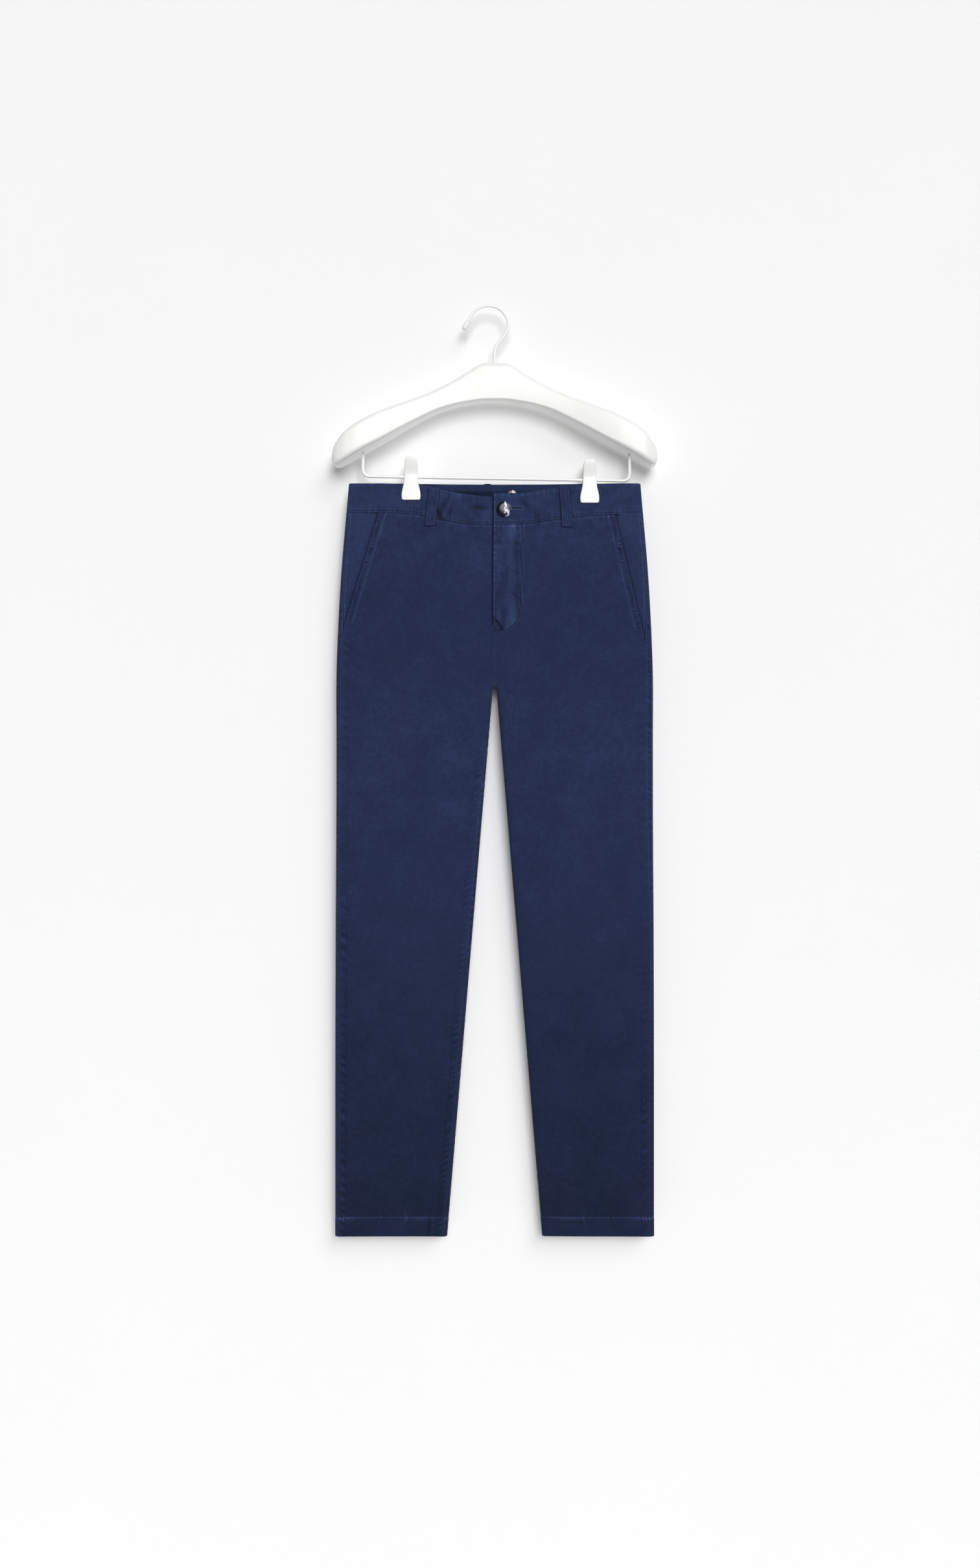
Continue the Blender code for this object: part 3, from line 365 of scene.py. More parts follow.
RIGHT, LEFT = -1, 1          # the wearer's sides, as the sign of x
FRONT, BACK = -1, 1          # the faces, as the sign of y
SIDE_NAMES = {RIGHT: "right", LEFT: "left"}
CLIP_X = {RIGHT: -108.5 * MM, LEFT: 135 * MM}
JAW_DOWN, JAW_HALF_WIDTH = np.array([
    (0, 4.6), (1.3, 6.6), (4, 8.0), (12, 8.6), (24, 9.1), (35, 9.9), (43, 11.6), (48, 12.6),
    (55, 12.7), (57.6, 11.9), (58.4, 10.4),
]).T * MM
JAW_TOP_ABOVE_BAR = 26.8 * MM
JAW_THICKNESS = 2.4 * MM
JAW_SEAT = 3.7 * MM
JAW_HANDLE_START = 24 * MM
JAW_HANDLE_LEAN = 6 * MM
JAW_CROWN = 0.5 * MM
JAW_EDGE_ROUND, JAW_SEAT_ROUND = 0.9 * MM, 0.4 * MM
JAW_DIMPLE_DOWN, JAW_DIMPLE_RADIUS, JAW_DIMPLE_DEPTH = 53 * MM, 1.1 * MM, 0.5 * MM
JAW_DIMPLE_ACROSS = -0.5 * MM
SPRING_RADIUS = 3.0 * MM
SPRING_WIRE_RADIUS = 0.42 * MM
SPRING_LENGTH = 12 * MM
SPRING_TURNS = 9.0


def smooth(value, start, end):
    """Rises smoothly from 0 at start to 1 at end."""
    part = np.clip((value - start) / (end - start), 0, 1)
    return part * part * (3 - 2 * part)


def round_over(distance, radius):
    """How far a rounded edge has fallen away, at a distance in from it."""
    short = np.clip(radius - distance, 0, radius)
    return radius - np.sqrt(radius ** 2 - short ** 2)


def picked(count, step):
    """Every so many of a row's places, with the last."""
    return np.append(np.arange(0, count - 1, step), count - 1)


def wall(name, outer, inner, material, row_step=1, column_step=1, sharp_angle=45):
    """A closed wall between a fine outer grid of points and an inner one thinned by the steps."""
    rows, columns = outer.shape[:2]
    inner_rows, inner_columns = picked(rows, row_step), picked(columns, column_step)
    index = np.arange(rows * columns).reshape(rows, columns)
    behind = rows * columns + np.arange(len(inner_rows) * len(inner_columns)).reshape(len(inner_rows), -1)
    faces = []
    for grid, order in ((index, 1), (behind, -1)):
        quads = np.stack([grid[:-1, :-1], grid[:-1, 1:], grid[1:, 1:], grid[1:, :-1]], axis=-1)
        faces += quads.reshape(-1, 4)[:, ::order].tolist()
    edges = [(index[0], behind[0], inner_columns), (index[-1], behind[-1], inner_columns),
             (index[:, 0], behind[:, 0], inner_rows), (index[:, -1], behind[:, -1], inner_rows)]
    for front, back, places in edges:
        for place, (start, end) in enumerate(zip(places, places[1:])):
            faces.append(front[start:end + 1].tolist() + [int(back[place + 1]), int(back[place])])
    points = np.concatenate([outer.reshape(-1, 3), inner[np.ix_(inner_rows, inner_columns)].reshape(-1, 3)])
    return new_piece(name, points, faces, material, sharp_angle)


def clip_jaw(name, x, face):
    """One jaw, upright on the cloth and leaning out at the handle, with a rounded edge."""
    top = bar_height(x) + JAW_TOP_ABOVE_BAR
    down = JAW_DOWN[-1] * (1 - np.cos(np.linspace(0, math.pi, 61))) / 2
    half_width = curve_through(down, JAW_DOWN, JAW_HALF_WIDTH)[:, None]
    place = np.sin(np.linspace(-math.pi / 2, math.pi / 2, 31))[None, :]
    down = down[:, None]
    across = place * half_width
    lean = JAW_HANDLE_LEAN * smooth(-down, -JAW_HANDLE_START, 0) ** 0.8
    edge = np.minimum(half_width - np.abs(across), np.minimum(down, JAW_DOWN[-1] - down))
    dimple = np.hypot(across - JAW_DIMPLE_ACROSS, down - JAW_DIMPLE_DOWN)
    seat = JAW_SEAT + lean + round_over(edge, JAW_SEAT_ROUND)
    skin = (JAW_SEAT + lean + JAW_THICKNESS - JAW_CROWN * place ** 2 - round_over(edge, JAW_EDGE_ROUND)
            - JAW_DIMPLE_DEPTH * (1 - smooth(dimple, 0.4 * JAW_DIMPLE_RADIUS, JAW_DIMPLE_RADIUS)))
    z = top - down + 0 * across
    outer, inner = (np.stack([x + across, face * (depth + 0 * across), z], axis=-1) for depth in (skin, seat))
    return wall(name, outer, inner, abs_plastic, 2, 2)


def spring_tree(material):
    """A coil of round wire, wound along Z and turned to lie on the bar."""
    tree, given, output = group("clip_spring", {
        "Geometry": ("Geometry", None), "Radius": ("Float", 0.003), "Wire": ("Float", 0.0005),
        "Length": ("Float", 0.012), "Turns": ("Float", 9.0), "Seat": ("Vector", None),
        "Turn": ("Vector", None)})
    coil = add_node(tree, "GeometryNodeCurveSpiral", {
        "Resolution": 20, "Rotations": given["Turns"], "Start Radius": given["Radius"],
        "End Radius": given["Radius"], "Height": given["Length"]})
    ring = add_node(tree, "GeometryNodeCurvePrimitiveCircle", {"Radius": given["Wire"], "Resolution": 8})
    swept = add_node(tree, "GeometryNodeCurveToMesh", {
        "Curve": coil.outputs[0], "Profile Curve": ring.outputs[0], "Fill Caps": True})
    seated = add_node(tree, "GeometryNodeTransform", {
        "Geometry": swept.outputs[0], "Translation": given["Seat"], "Rotation": given["Turn"]})
    close_tree(tree, output, seated.outputs[0], material)
    return tree


# Zinc-plated spring wire: grey metal with the faint lines of drawing
spring_steel = mottled("zinc_plated_spring_wire", {"Metallic": 1.0, "Roughness": 0.34},
                       ("#b9bcc0", "#d8dadc"), {"Scale": 1 / (0.8 * MM), "Detail": 3.0})
spring_winding = spring_tree(spring_steel)
bar_tilt = math.atan2(BAR_LEFT_END.z - BAR_RIGHT_END.z, BAR_LEFT_END.x - BAR_RIGHT_END.x)
bar_heading = (BAR_LEFT_END - BAR_RIGHT_END).normalized()
for side, side_name in SIDE_NAMES.items():
    x = CLIP_X[side]
    for face, face_name in ((FRONT, "front"), (BACK, "back")):
        jaw = clip_jaw(f"moulded_jaw_{side_name}_{face_name}", x, face)
        dress(jaw, "white_plastic", f"clip_{side_name}_{face_name}_jaw")
    seat = Vector((x, 0, bar_height(x))) - bar_heading * SPRING_LENGTH / 2
    spring = grown(f"coil_spring_{side_name}", spring_winding, bpy.data.meshes.new("coil"), {
        "Radius": SPRING_RADIUS - SPRING_WIRE_RADIUS, "Wire": SPRING_WIRE_RADIUS, "Length": SPRING_LENGTH,
        "Turns": SPRING_TURNS, "Seat": tuple(seat), "Turn": (0.0, math.pi / 2 - bar_tilt, 0.0)})
    dress(spring, "white_metal", f"clip_{side_name}_spring")


# --------------------------------------------------------------- front panels
# The two front legs, cut from a 1.4 mm cotton twill and sewn, then dyed as a garment:
# colour lies thin on ridges and collects along the seams, and on top of that the cloth's tone
# carries painted shade in grooves, creases and beside edges, and painted highlights along
# folded edges and ridges. Seams are pressed, hems turned up.

HALF_GAP = 0.05 * MM         # sewn seams close up; the solids keep their clearance
WAIST_Z = -241 * MM
OUTSEAM = 1027 * MM
CROTCH_DROP = 280.5 * MM
CROTCH_Z = WAIST_Z - CROTCH_DROP
WAISTBAND_HEIGHT = 40.2 * MM
WAISTBAND_THICKNESS = 2.6 * MM
CLOTH_THICKNESS = 1.4 * MM
HEM_HEIGHT = 26 * MM
HEM_THICKNESS = 2.4 * MM
HEM_STITCH_DROP = OUTSEAM - HEM_HEIGHT
FOLD_RADIUS = 5 * MM
QUARTER_FOLD = FOLD_RADIUS * math.pi / 2
CROTCH_TUCK_HEIGHT = 9 * MM
LEG_GAP_START = 2.6 * MM
LEG_GAP_SLOPE = 0.0837
LEGS_BEGIN = 60 * MM
LEGS_ROUND = 110 * MM
SWAY = 1.5 * MM

# Level by level, in mm: distance below the waist, half width, and how far each face
# stands from the middle plane.
LEVELS_DROP, LEVELS_HALF_WIDTH, LEVELS_FRONT, LEVELS_BACK = np.array([
    (0, 199.0, 12.0, 10.0),
    (50, 203.3, 12.5, 12.0),
    (115, 208.8, 13.0, 16.0),
    (190, 213.3, 13.5, 19.0),
    (260, 215.9, 13.5, 18.5),
    (350, 215.9, 13.0, 15.5),
    (450, 216.0, 12.5, 13.5),
    (620, 217.0, 11.5, 12.0),
    (800, 217.6, 10.5, 11.0),
    (1027, 217.7, 9.5, 10.0),
]).T * MM

# The pinched waist, in mm: place across, and how far the front and the back stand out
WAIST_ACROSS, WAIST_FRONT, WAIST_BACK = np.array([
    (-199, 5.0, 5.0),
    (-160, 5.2, 5.0),
    (-129, 3.1, 3.1),
    (-99, 3.1, 3.1),
    (-50, 10.5, 6.8),
    (0, 14.0, 8.0),
    (55, 11.5, 7.0),
    (114, 3.1, 3.1),
    (145, 3.1, 3.1),
    (168, 5.0, 4.8),
    (199, 5.0, 5.0),
]).T * MM
PINCH_HEIGHT = 26 * MM
PINCH_FADE = 130 * MM

# How far the side seams and inseams lie inside the outline on the front, in mm
SEAM_DROP, RIGHT_SIDE_INSET, LEFT_SIDE_INSET, RIGHT_INSEAM_INSET, LEFT_INSEAM_INSET = np.array([
    (0, 6.2, 5.0, 0.0, 0.0),
    (110, 5.6, 5.2, 0.0, 0.0),
    (255, 7.8, 10.5, 0.0, 0.0),
    (430, 6.0, 9.6, 6.0, -2.0),
    (640, 5.6, 6.0, 6.4, -2.5),
    (850, 5.4, 8.0, 5.0, -2.5),
    (1027, 5.4, 7.8, 6.0, -2.0),
]).T * MM
SIDE_INSET = {RIGHT: RIGHT_SIDE_INSET, LEFT: LEFT_SIDE_INSET}
INSEAM_INSET = {RIGHT: RIGHT_INSEAM_INSET, LEFT: LEFT_INSEAM_INSET}
INSEAM_FADE = 120 * MM       # the inseams leave the inner folds this gradually below the crotch

# The sagging waist, the slanted pocket mouths and the fly
SAG_FADE_DROP = 130 * MM
# In mm: distance from the centre line, and how far the band's top edge and the waist seam
# sag there on the wearer's right and on the left
SAG_ACROSS, RIGHT_TOP_SAG, RIGHT_SEAM_SAG, LEFT_TOP_SAG, LEFT_SEAM_SAG = np.array([
    (0, 19.8, 17.2, 14.7, 17.2),
    (18, 18.5, 16.8, 14.6, 17.0),
    (36, 16.5, 15.8, 14.2, 16.2),
    (52, 13.9, 13.8, 12.4, 14.6),
    (64, 11.5, 11.4, 10.6, 12.8),
    (76, 8.6, 8.8, 8.6, 10.9),
    (88, 4.6, 5.9, 5.2, 8.8),
    (104, 1.3, 2.5, 1.7, 6.6),
    (116, 0.2, 0.9, 0.3, 5.2),
    (136, 0, 0, 0, 3.2),
    (164, 0, 0, 0, 2.2),
    (190, 0, 0, 0, 1.8),
    (206, 0, 0, 0, 0.9),
    (218, 0, 0, 0, 0),
]).T * MM
TOP_SAG = {RIGHT: RIGHT_TOP_SAG, LEFT: LEFT_TOP_SAG}
SEAM_SAG = {RIGHT: RIGHT_SEAM_SAG, LEFT: LEFT_SEAM_SAG}
SLANT_TOP_X = {RIGHT: 158 * MM, LEFT: 163.5 * MM}
SLANT_END_X = {RIGHT: 205 * MM, LEFT: 202 * MM}
SLANT_END_DROP = {RIGHT: 195 * MM, LEFT: 204 * MM}
FLY_TOP_LAP = 1.4 * MM
FLY_LAP = 2.6 * MM
FLY_UNDERLAP = 3.5 * MM
FLY_END_DROP = 183 * MM
FLY_CLOSE_DROP = 200 * MM
LAP_START = 2 * MM
LAP_REACH = 38 * MM
LAP_STEP = 25 * MM
LAP_FADE = 40 * MM

# Folds of the hanging cloth, in mm: face, place across, drop of the middle, length,
# tilt from the vertical in degrees, width, and height, negative for a trough
FOLD_COLUMNS = ("face", "across", "drop", "length", "tilt", "width", "height")
FOLDS_START_DROP = 40 * MM
FOLDS_FULL_DROP = 100 * MM
FOLD_ROWS = [
    (FRONT, -112, 120, 170, -6, 24, -1.6),
    (FRONT, 128, 125, 180, 7, 26, -1.7),
    (FRONT, -34, 262, 120, 52, 20, -1.8),
    (FRONT, 36, 268, 130, -50, 21, -2.0),
    (FRONT, -88, 330, 190, 20, 30, 1.5),
    (FRONT, 92, 350, 220, -14, 32, 1.7),
    (FRONT, -150, 520, 300, 3, 30, -1.5),
    (FRONT, 120, 560, 340, -5, 34, 1.8),
    (FRONT, -112, 690, 260, 8, 32, 1.6),
    (FRONT, 168, 730, 250, 2, 26, -1.4),
    (FRONT, -132, 900, 260, -3, 30, -1.3),
    (FRONT, 138, 920, 240, -4, 32, 1.4),
    (BACK, -60, 150, 190, 24, 28, -2.2),
    (BACK, 64, 155, 200, -22, 28, -2.4),
    (BACK, -46, 290, 130, 48, 22, -2.6),
    (BACK, 48, 296, 140, -46, 22, -2.5),
    (BACK, -110, 420, 260, 10, 34, 2.0),
    (BACK, 116, 440, 240, -12, 34, 2.2),
    (BACK, -146, 640, 230, -6, 28, -1.9),
    (BACK, 148, 660, 260, 5, 30, -1.8),
    (BACK, -120, 860, 260, 4, 32, 1.6),
    (BACK, 128, 880, 240, -6, 32, 1.5),
]
# Short sharp creases of the worn-in cloth, in the same columns
CREASE_ROWS = [
    (FRONT, 28, 153.6, 24, 43, 2.4, -0.5),
    (FRONT, 6.5, 125, 16, 88, 1.8, -0.35),
    (FRONT, 31, 83, 14, 62, 2.0, -0.35),
    (FRONT, 32, 94, 12, 50, 2.0, -0.3),
    (FRONT, 31, 123, 14, 45, 2.0, -0.35),
    (FRONT, 5, 192.6, 28, 36, 2.2, -0.6),
    (FRONT, -76, 42, 34, 34, 3.0, -0.8),
    (FRONT, -70, 32, 46, -28, 3.2, -0.6),
    (FRONT, -61, 40, 30, -24, 3.4, -0.5),
    (FRONT, -21, 34, 34, 82, 2.6, -0.6),
    (FRONT, 42, 30, 26, 40, 3.0, -0.4),
    (FRONT, 58, 46, 30, 20, 4.0, -0.4),
    (BACK, -40, 60, 60, 18, 5, -0.7),
    (BACK, 46, 64, 70, -16, 5, -0.8),
    (BACK, -6, 205, 60, 70, 6, -0.8),
    (BACK, -28, 330, 80, 55, 6, -0.9),
    (BACK, 30, 338, 84, -52, 6, -0.9),
]
CREASE_SHADE_TONE = 1.3 / MM       # painted shade: how much darker a crease is, for its depth
# The low unevenness of the cloth, in mm: cell across, cell down, height
LIE_ROWS = [(95, 160, 0.55), (38, 70, 0.22), (17, 24, 0.06)]
LIE_SEEDS = {FRONT: 11, BACK: 47}
LIE_SPAN = (20 * MM, 120 * MM)
DRIFT_CELLS = 64             # random heights repeat after this many cells


def between(value, places, heights):
    """Interpolates a table's column with a smooth step from row to row."""
    value = np.clip(value, places[0], places[-1])
    row = np.clip(np.searchsorted(places, value, side="right") - 1, 0, len(places) - 2)
    part = smooth(value, places[row], places[row + 1])
    return heights[row] + (heights[row + 1] - heights[row]) * part


def drift(across, down, cell_across, cell_down, seed):
    """Smooth random heights, from -1 to 1, about a cell apart."""
    table = np.random.default_rng(seed).uniform(-1, 1, (DRIFT_CELLS, DRIFT_CELLS))
    across, down = np.broadcast_arrays(across / cell_across, down / cell_down)
    column, row = np.floor(across).astype(int), np.floor(down).astype(int)
    part_across = smooth(across - column, 0, 1)
    part_down = smooth(down - row, 0, 1)
    height = 0
    for step_across, weight_across in ((0, 1 - part_across), (1, part_across)):
        for step_down, weight_down in ((0, 1 - part_down), (1, part_down)):
            corner = table[(column + step_across) % DRIFT_CELLS, (row + step_down) % DRIFT_CELLS]
            height = height + corner * weight_across * weight_down
    return height


def drift_along(along, cell, row, seed):
    """Smooth random heights along a line, from one row of a table."""
    return drift(along, row, cell, 1, seed)


def drop_of(z):
    """How far a height lies below the waist."""
    return WAIST_Z - z


def outer_x(z):
    """Half the garment's width."""
    return curve_through(drop_of(z), LEVELS_DROP, LEVELS_HALF_WIDTH)


def inner_x(z):
    """A half's inner edge: the centre seam, then the leg's inner fold."""
    below = np.maximum(CROTCH_Z - z, 0)
    return HALF_GAP + LEG_GAP_START * smooth(below, 0, 1 * MM) + LEG_GAP_SLOPE * below


def crotch_tuck(z):
    """0 where the centre seam lies flat, 1 where the inner side is a closed fold."""
    return np.clip((CROTCH_Z + CROTCH_TUCK_HEIGHT - z) / CROTCH_TUCK_HEIGHT, 0, 1)


def face_run(z):
    """The cloth's length across one face of one half, from outer fold to inner edge."""
    tuck = crotch_tuck(z)
    flat = outer_x(z) - inner_x(z) - FOLD_RADIUS * (1 + tuck)
    return flat + FOLD_RADIUS * (math.pi / 2 + np.arcsin(tuck))


def sag(heights, across):
    """How far an edge of the front waist sags at a place across."""
    return curve_through(np.abs(across), SAG_ACROSS, heights)


def folds(fold_rows, face, across, drop):
    """The height of a table's folds on a face."""
    height = np.zeros(np.shape(across + drop))
    for row in fold_rows:
        fold = dict(zip(FOLD_COLUMNS, row))
        tilt = math.radians(fold["tilt"])
        side = across - fold["across"] * MM
        down = drop - fold["drop"] * MM
        along = down * math.cos(tilt) + side * math.sin(tilt)
        away = side * math.cos(tilt) - down * math.sin(tilt)
        taper = np.clip(1 - (2 * along / (fold["length"] * MM)) ** 2, 0, 1) ** 2
        ridge = np.exp(-(away / (fold["width"] * MM)) ** 2)
        height = height + (face == fold["face"]) * fold["height"] * MM * ridge * taper
    return height


def lie(face, across, drop):
    """The cloth's low unevenness, none at the pressed waistband."""
    height = 0
    for this_face, seed in LIE_SEEDS.items():
        for number, (cell_across, cell_down, size) in enumerate(LIE_ROWS):
            rise = drift(across, drop, cell_across * MM, cell_down * MM, seed + number)
            height = height + (face == this_face) * size * MM * rise
    return height * smooth(drop, *LIE_SPAN)


def lap_sink(across, z):
    """How far the right front lies under the left one near the centre line."""
    drop = drop_of(z)
    under_band = WAISTBAND_THICKNESS + SEAM_GAP
    under_front = CLOTH_THICKNESS + SEAM_GAP
    band_end = WAISTBAND_HEIGHT + RIGHT_SEAM_SAG[0]
    sink = under_band + (under_front - under_band) * smooth(drop, band_end, band_end + LAP_STEP)
    sink = sink * (1 - smooth(drop, FLY_CLOSE_DROP, FLY_CLOSE_DROP + LAP_FADE))
    return sink * (1 - smooth(-across, LAP_START, LAP_REACH))


def face_depth(face, across, z):
    """How far a face stands from the middle plane."""
    drop = drop_of(z)
    full = np.where(face == FRONT,
                    curve_through(drop, LEVELS_DROP, LEVELS_FRONT),
                    curve_through(drop, LEVELS_DROP, LEVELS_BACK))
    place = np.clip((np.abs(across) - inner_x(z)) / (outer_x(z) - inner_x(z)), 0, 1)
    torso = 1 - place ** 3
    leg = 1 - np.abs(2 * place - 1) ** 3
    legs = smooth(drop, CROTCH_DROP - LEGS_BEGIN, CROTCH_DROP + LEGS_ROUND)
    body = FOLD_RADIUS + (full - FOLD_RADIUS) * (torso + (leg - torso) * legs)
    waist = np.where(face == FRONT,
                     between(across, WAIST_ACROSS, WAIST_FRONT),
                     between(across, WAIST_ACROSS, WAIST_BACK))
    filled = smooth(drop, PINCH_HEIGHT, PINCH_HEIGHT + PINCH_FADE)
    folded = smooth(drop, FOLDS_START_DROP, FOLDS_FULL_DROP)
    return (waist + (body - waist) * filled + folds(FOLD_ROWS, face, across, drop) * folded
            + folds(CREASE_ROWS, face, across, drop) + lie(face, across, drop))


def sway(z):
    """The middle plane hangs a little forward at the knees and back at the hems."""
    return -SWAY * np.sin(1.6 * math.pi * np.clip(drop_of(z) / OUTSEAM, 0, 1) ** 1.3)


def cloth(side, girth, z):
    """Points on the garment's outer surface.

    Girth is the distance along the cloth from a leg's outer fold, positive on the
    front and negative on the back.
    """
    girth, z = np.broadcast_arrays(np.asarray(girth, float), np.asarray(z, float))
    face = np.where(girth >= 0, FRONT, BACK)
    run = np.abs(girth)
    full = face_run(z)
    round_inner_fold = (run > full) & (z < CROTCH_Z)
    face = np.where(round_inner_fold, -face, face)
    run = np.where(round_inner_fold, 2 * full - run, run)

    tuck = crotch_tuck(z)
    outer_angle = run / FOLD_RADIUS
    inner_angle = np.arccos(tuck) + (full - run) / FOLD_RADIUS
    at_outer = run < QUARTER_FOLD
    at_inner = (inner_angle < math.pi / 2) & (tuck > 0)
    x = np.where(at_outer, outer_x(z) - FOLD_RADIUS * (1 - np.cos(outer_angle)),
                 np.where(at_inner, inner_x(z) + FOLD_RADIUS * (tuck - np.cos(inner_angle)),
                          outer_x(z) - FOLD_RADIUS - (run - QUARTER_FOLD)))
    turn = np.where(at_outer, np.sin(outer_angle), np.where(at_inner, np.sin(inner_angle), 1))
    across = side * x
    depth = face_depth(face, across, z)
    if side == RIGHT:
        depth = depth - lap_sink(across, z) * (face == FRONT)
    return np.stack([CENTRE_X + across, sway(z) + face * depth * turn, z], axis=-1)


def across_at(side, girth, z):
    """How far a place on the cloth lies from the centre line, positive on the wearer's left."""
    return cloth(side, girth, z)[..., 0] - CENTRE_X


def inward(side, girth, z):
    """Unit vectors into the garment, square to its surface."""
    step = 0.5 * MM
    round_it = cloth(side, girth + step, z) - cloth(side, girth - step, z)
    down_it = cloth(side, girth, z + step) - cloth(side, girth, z - step)
    normal = side * np.cross(round_it, down_it)
    return normal / np.linalg.norm(normal, axis=-1, keepdims=True)


def round_fold(inset):
    """The cloth's length from a fold to a place this far inside the outline."""
    in_fold = FOLD_RADIUS * np.arccos(np.clip(1 - inset / FOLD_RADIUS, -1, 1))
    return np.where(inset < FOLD_RADIUS, in_fold, QUARTER_FOLD + inset - FOLD_RADIUS)


def girth_at(x, z):
    """The girth on the front, x from the centre line towards the side."""
    return round_fold(np.maximum(outer_x(z) - x, 0))


def side_seam(side, z):
    """The girth of the side seam."""
    return round_fold(curve_through(drop_of(z), SEAM_DROP, SIDE_INSET[side]))


def inseam(side, z):
    """How far the inseam lies from the inner fold, positive towards the front."""
    inset = curve_through(drop_of(z), SEAM_DROP, INSEAM_INSET[side])
    inset = inset * smooth(CROTCH_Z - z, 0, INSEAM_FADE)
    return np.sign(inset) * round_fold(np.abs(inset))


def slant_x(side, z):
    """The pocket mouth's place across at a height."""
    share = (drop_of(z) - WAISTBAND_HEIGHT) / (SLANT_END_DROP[side] - WAISTBAND_HEIGHT)
    return SLANT_TOP_X[side] + (SLANT_END_X[side] - SLANT_TOP_X[side]) * share


def fly_lap(side, z):
    """How far a front passes the centre line at the fly."""
    drop = drop_of(z)
    reach = FLY_UNDERLAP
    if side == LEFT:
        reach = FLY_TOP_LAP + (FLY_LAP - FLY_TOP_LAP) * smooth(drop, WAISTBAND_HEIGHT, FLY_END_DROP)
    return reach * (1 - smooth(drop, FLY_END_DROP, FLY_CLOSE_DROP))


def leg_thickness(z):
    """The cloth, doubled where the hem is turned up."""
    hem = smooth(drop_of(z), HEM_STITCH_DROP - 2 * MM, HEM_STITCH_DROP)
    return CLOTH_THICKNESS + (HEM_THICKNESS - CLOTH_THICKNESS) * hem


# Lines on the front, in mm: place across and drop
J_STITCH = np.array([(36.9, 40), (36.8, 62), (36.2, 110), (35.8, 165), (34.5, 177), (30.6, 186.3),
                     (25.8, 193), (20.4, 198.1), (15.5, 200.6), (11.6, 201.8)]) * MM
FLY_TACK = np.array([(-1.6, 183.4), (5.5, 191.5), (11.6, 201.8)]) * MM
FLY_FOOT = np.array([(11.6, 201.8), (5.5, 201.2), (-0.2, 199.6)]) * MM
BUTTONHOLE = np.array([(23.4, 34.8), (36.2, 34.8)]) * MM

# Belt loops, in mm: name, face, place across at the top and at the bottom, and how far
# the top stands above the waistband's edge
LOOP_ROWS = [
    ("front_right", FRONT, -81.5, -88.5, 0.0),
    ("front_left", FRONT, 94.0, 98.5, 0.0),
    ("back_right", BACK, -150.0, -150.0, 0.0),
    ("back_left", BACK, 156.0, 156.0, 0.0),
    ("back_centre", BACK, -10.0, -10.0, 1.6),
]
LOOP_WIDTH = 12.8 * MM
LOOP_BELOW_SEAM = 11.6 * MM
LOOP_SHADOW_TONE = -0.65      # painted shadow: how much darker the cloth is beside a loop


def from_path(across, drop, path):
    """The distance from a run of points on the cloth."""
    nearest = np.full(np.shape(across + drop), 1.0)
    for (start, high), (end, low) in zip(path, path[1:]):
        run, fall = end - start, low - high
        beside, below = across - start, drop - high
        share = np.clip((beside * run + below * fall) / (run ** 2 + fall ** 2), 0, 1)
        nearest = np.minimum(nearest, np.hypot(beside - share * run, below - share * fall))
    return nearest


def painted_loop_shadow(face, across, drop):
    """Painted shadow of a belt loop's edges on the cloth under it, deeper on the wearer's right side of each
    loop, away from the light.
    """
    shade = 0
    for _, loop_face, top, bottom, _ in LOOP_ROWS:
        side = RIGHT if top < 0 else LEFT
        end = WAISTBAND_HEIGHT + LOOP_BELOW_SEAM
        if loop_face == FRONT:
            end = end + sag(SEAM_SAG[side], bottom * MM)
        off = across - (top + (bottom - top) * drop / end) * MM
        beyond = np.hypot(np.maximum(np.abs(off) - LOOP_WIDTH / 2, 0), np.maximum(drop - end, 0))
        inside = (np.abs(off) < LOOP_WIDTH / 2) & (drop < end)
        near = np.exp(-(beyond / (2.0 * MM)) ** 2)
        shade = shade + (face == loop_face) * near * np.where(off < 0, 1.2, 0.7) * ~inside
    return shade


# Fine steps beside a cut edge, in mm
EDGE_STEPS = np.array([0, 0.2, 0.5, 1, 1.6, 2.3, 3.1, 4, 5, 6, 7, 8, 8.8, 9.8, 11, 12.4]) * MM
EDGE_ROUND = 0.3 * MM        # how far in a pressed edge is rounded


def columns(width, count):
    """Distances across a piece: fine steps at both edges, and even ones between."""
    share = np.linspace(0, 1, count + 2)[1:-1]
    middle = EDGE_STEPS[-1] + (width - 2 * EDGE_STEPS[-1]) * share
    near = EDGE_STEPS + 0 * width
    return np.concatenate([near, middle, (width - EDGE_STEPS)[:, ::-1]], axis=1)


def row_steps(spans):
    """Drops down a piece, in mm, from spans of start, end and step, fine at both ends."""
    drops = np.concatenate([np.arange(start, end, step) for start, end, step in spans])
    first, last = spans[0][0], spans[-1][1]
    fine = EDGE_STEPS[:5] / MM
    drops = drops[(drops > first + fine[-1] + 0.3) & (drops < last - fine[-1] - 0.3)]
    return np.concatenate([first + fine, drops, last - fine[::-1]]) * MM


def ripple(along, period, seed):
    """Puckers along a seam: waves of uneven length and height, from -1 to 1."""
    wander = drift_along(along, 2.6 * period, 0, seed)
    swell = 0.52 + 0.48 * drift_along(along, 1.9 * period, 7, seed)
    return swell * np.sin(2 * math.pi * (along / period + 0.75 * wander))


def line(distance, middle, width):
    """1 on a line at a distance in from an edge, falling to 0 either side."""
    return np.exp(-((distance - middle) / width) ** 2)


def lines(distance, rows):
    """Lines along an edge: each row is how far in one lies and its width, in mm, and its size."""
    return sum(size * line(distance, middle * MM, width * MM) for middle, width, size in rows)


def fading(distance, reach):
    """1 at a seam, dying away over about its reach."""
    return np.exp(-distance / reach)


def worn(across, drop, seed):
    """The uneven tone of cloth that was washed while sewn up, strongest near the waist."""
    cloudy = drift(across, drop, 13 * MM, 9 * MM, seed) + drift(across, drop, 6 * MM, 5 * MM, seed + 1)
    return 0.1 * cloudy * (1 - 0.7 * smooth(drop, 45 * MM, 110 * MM))


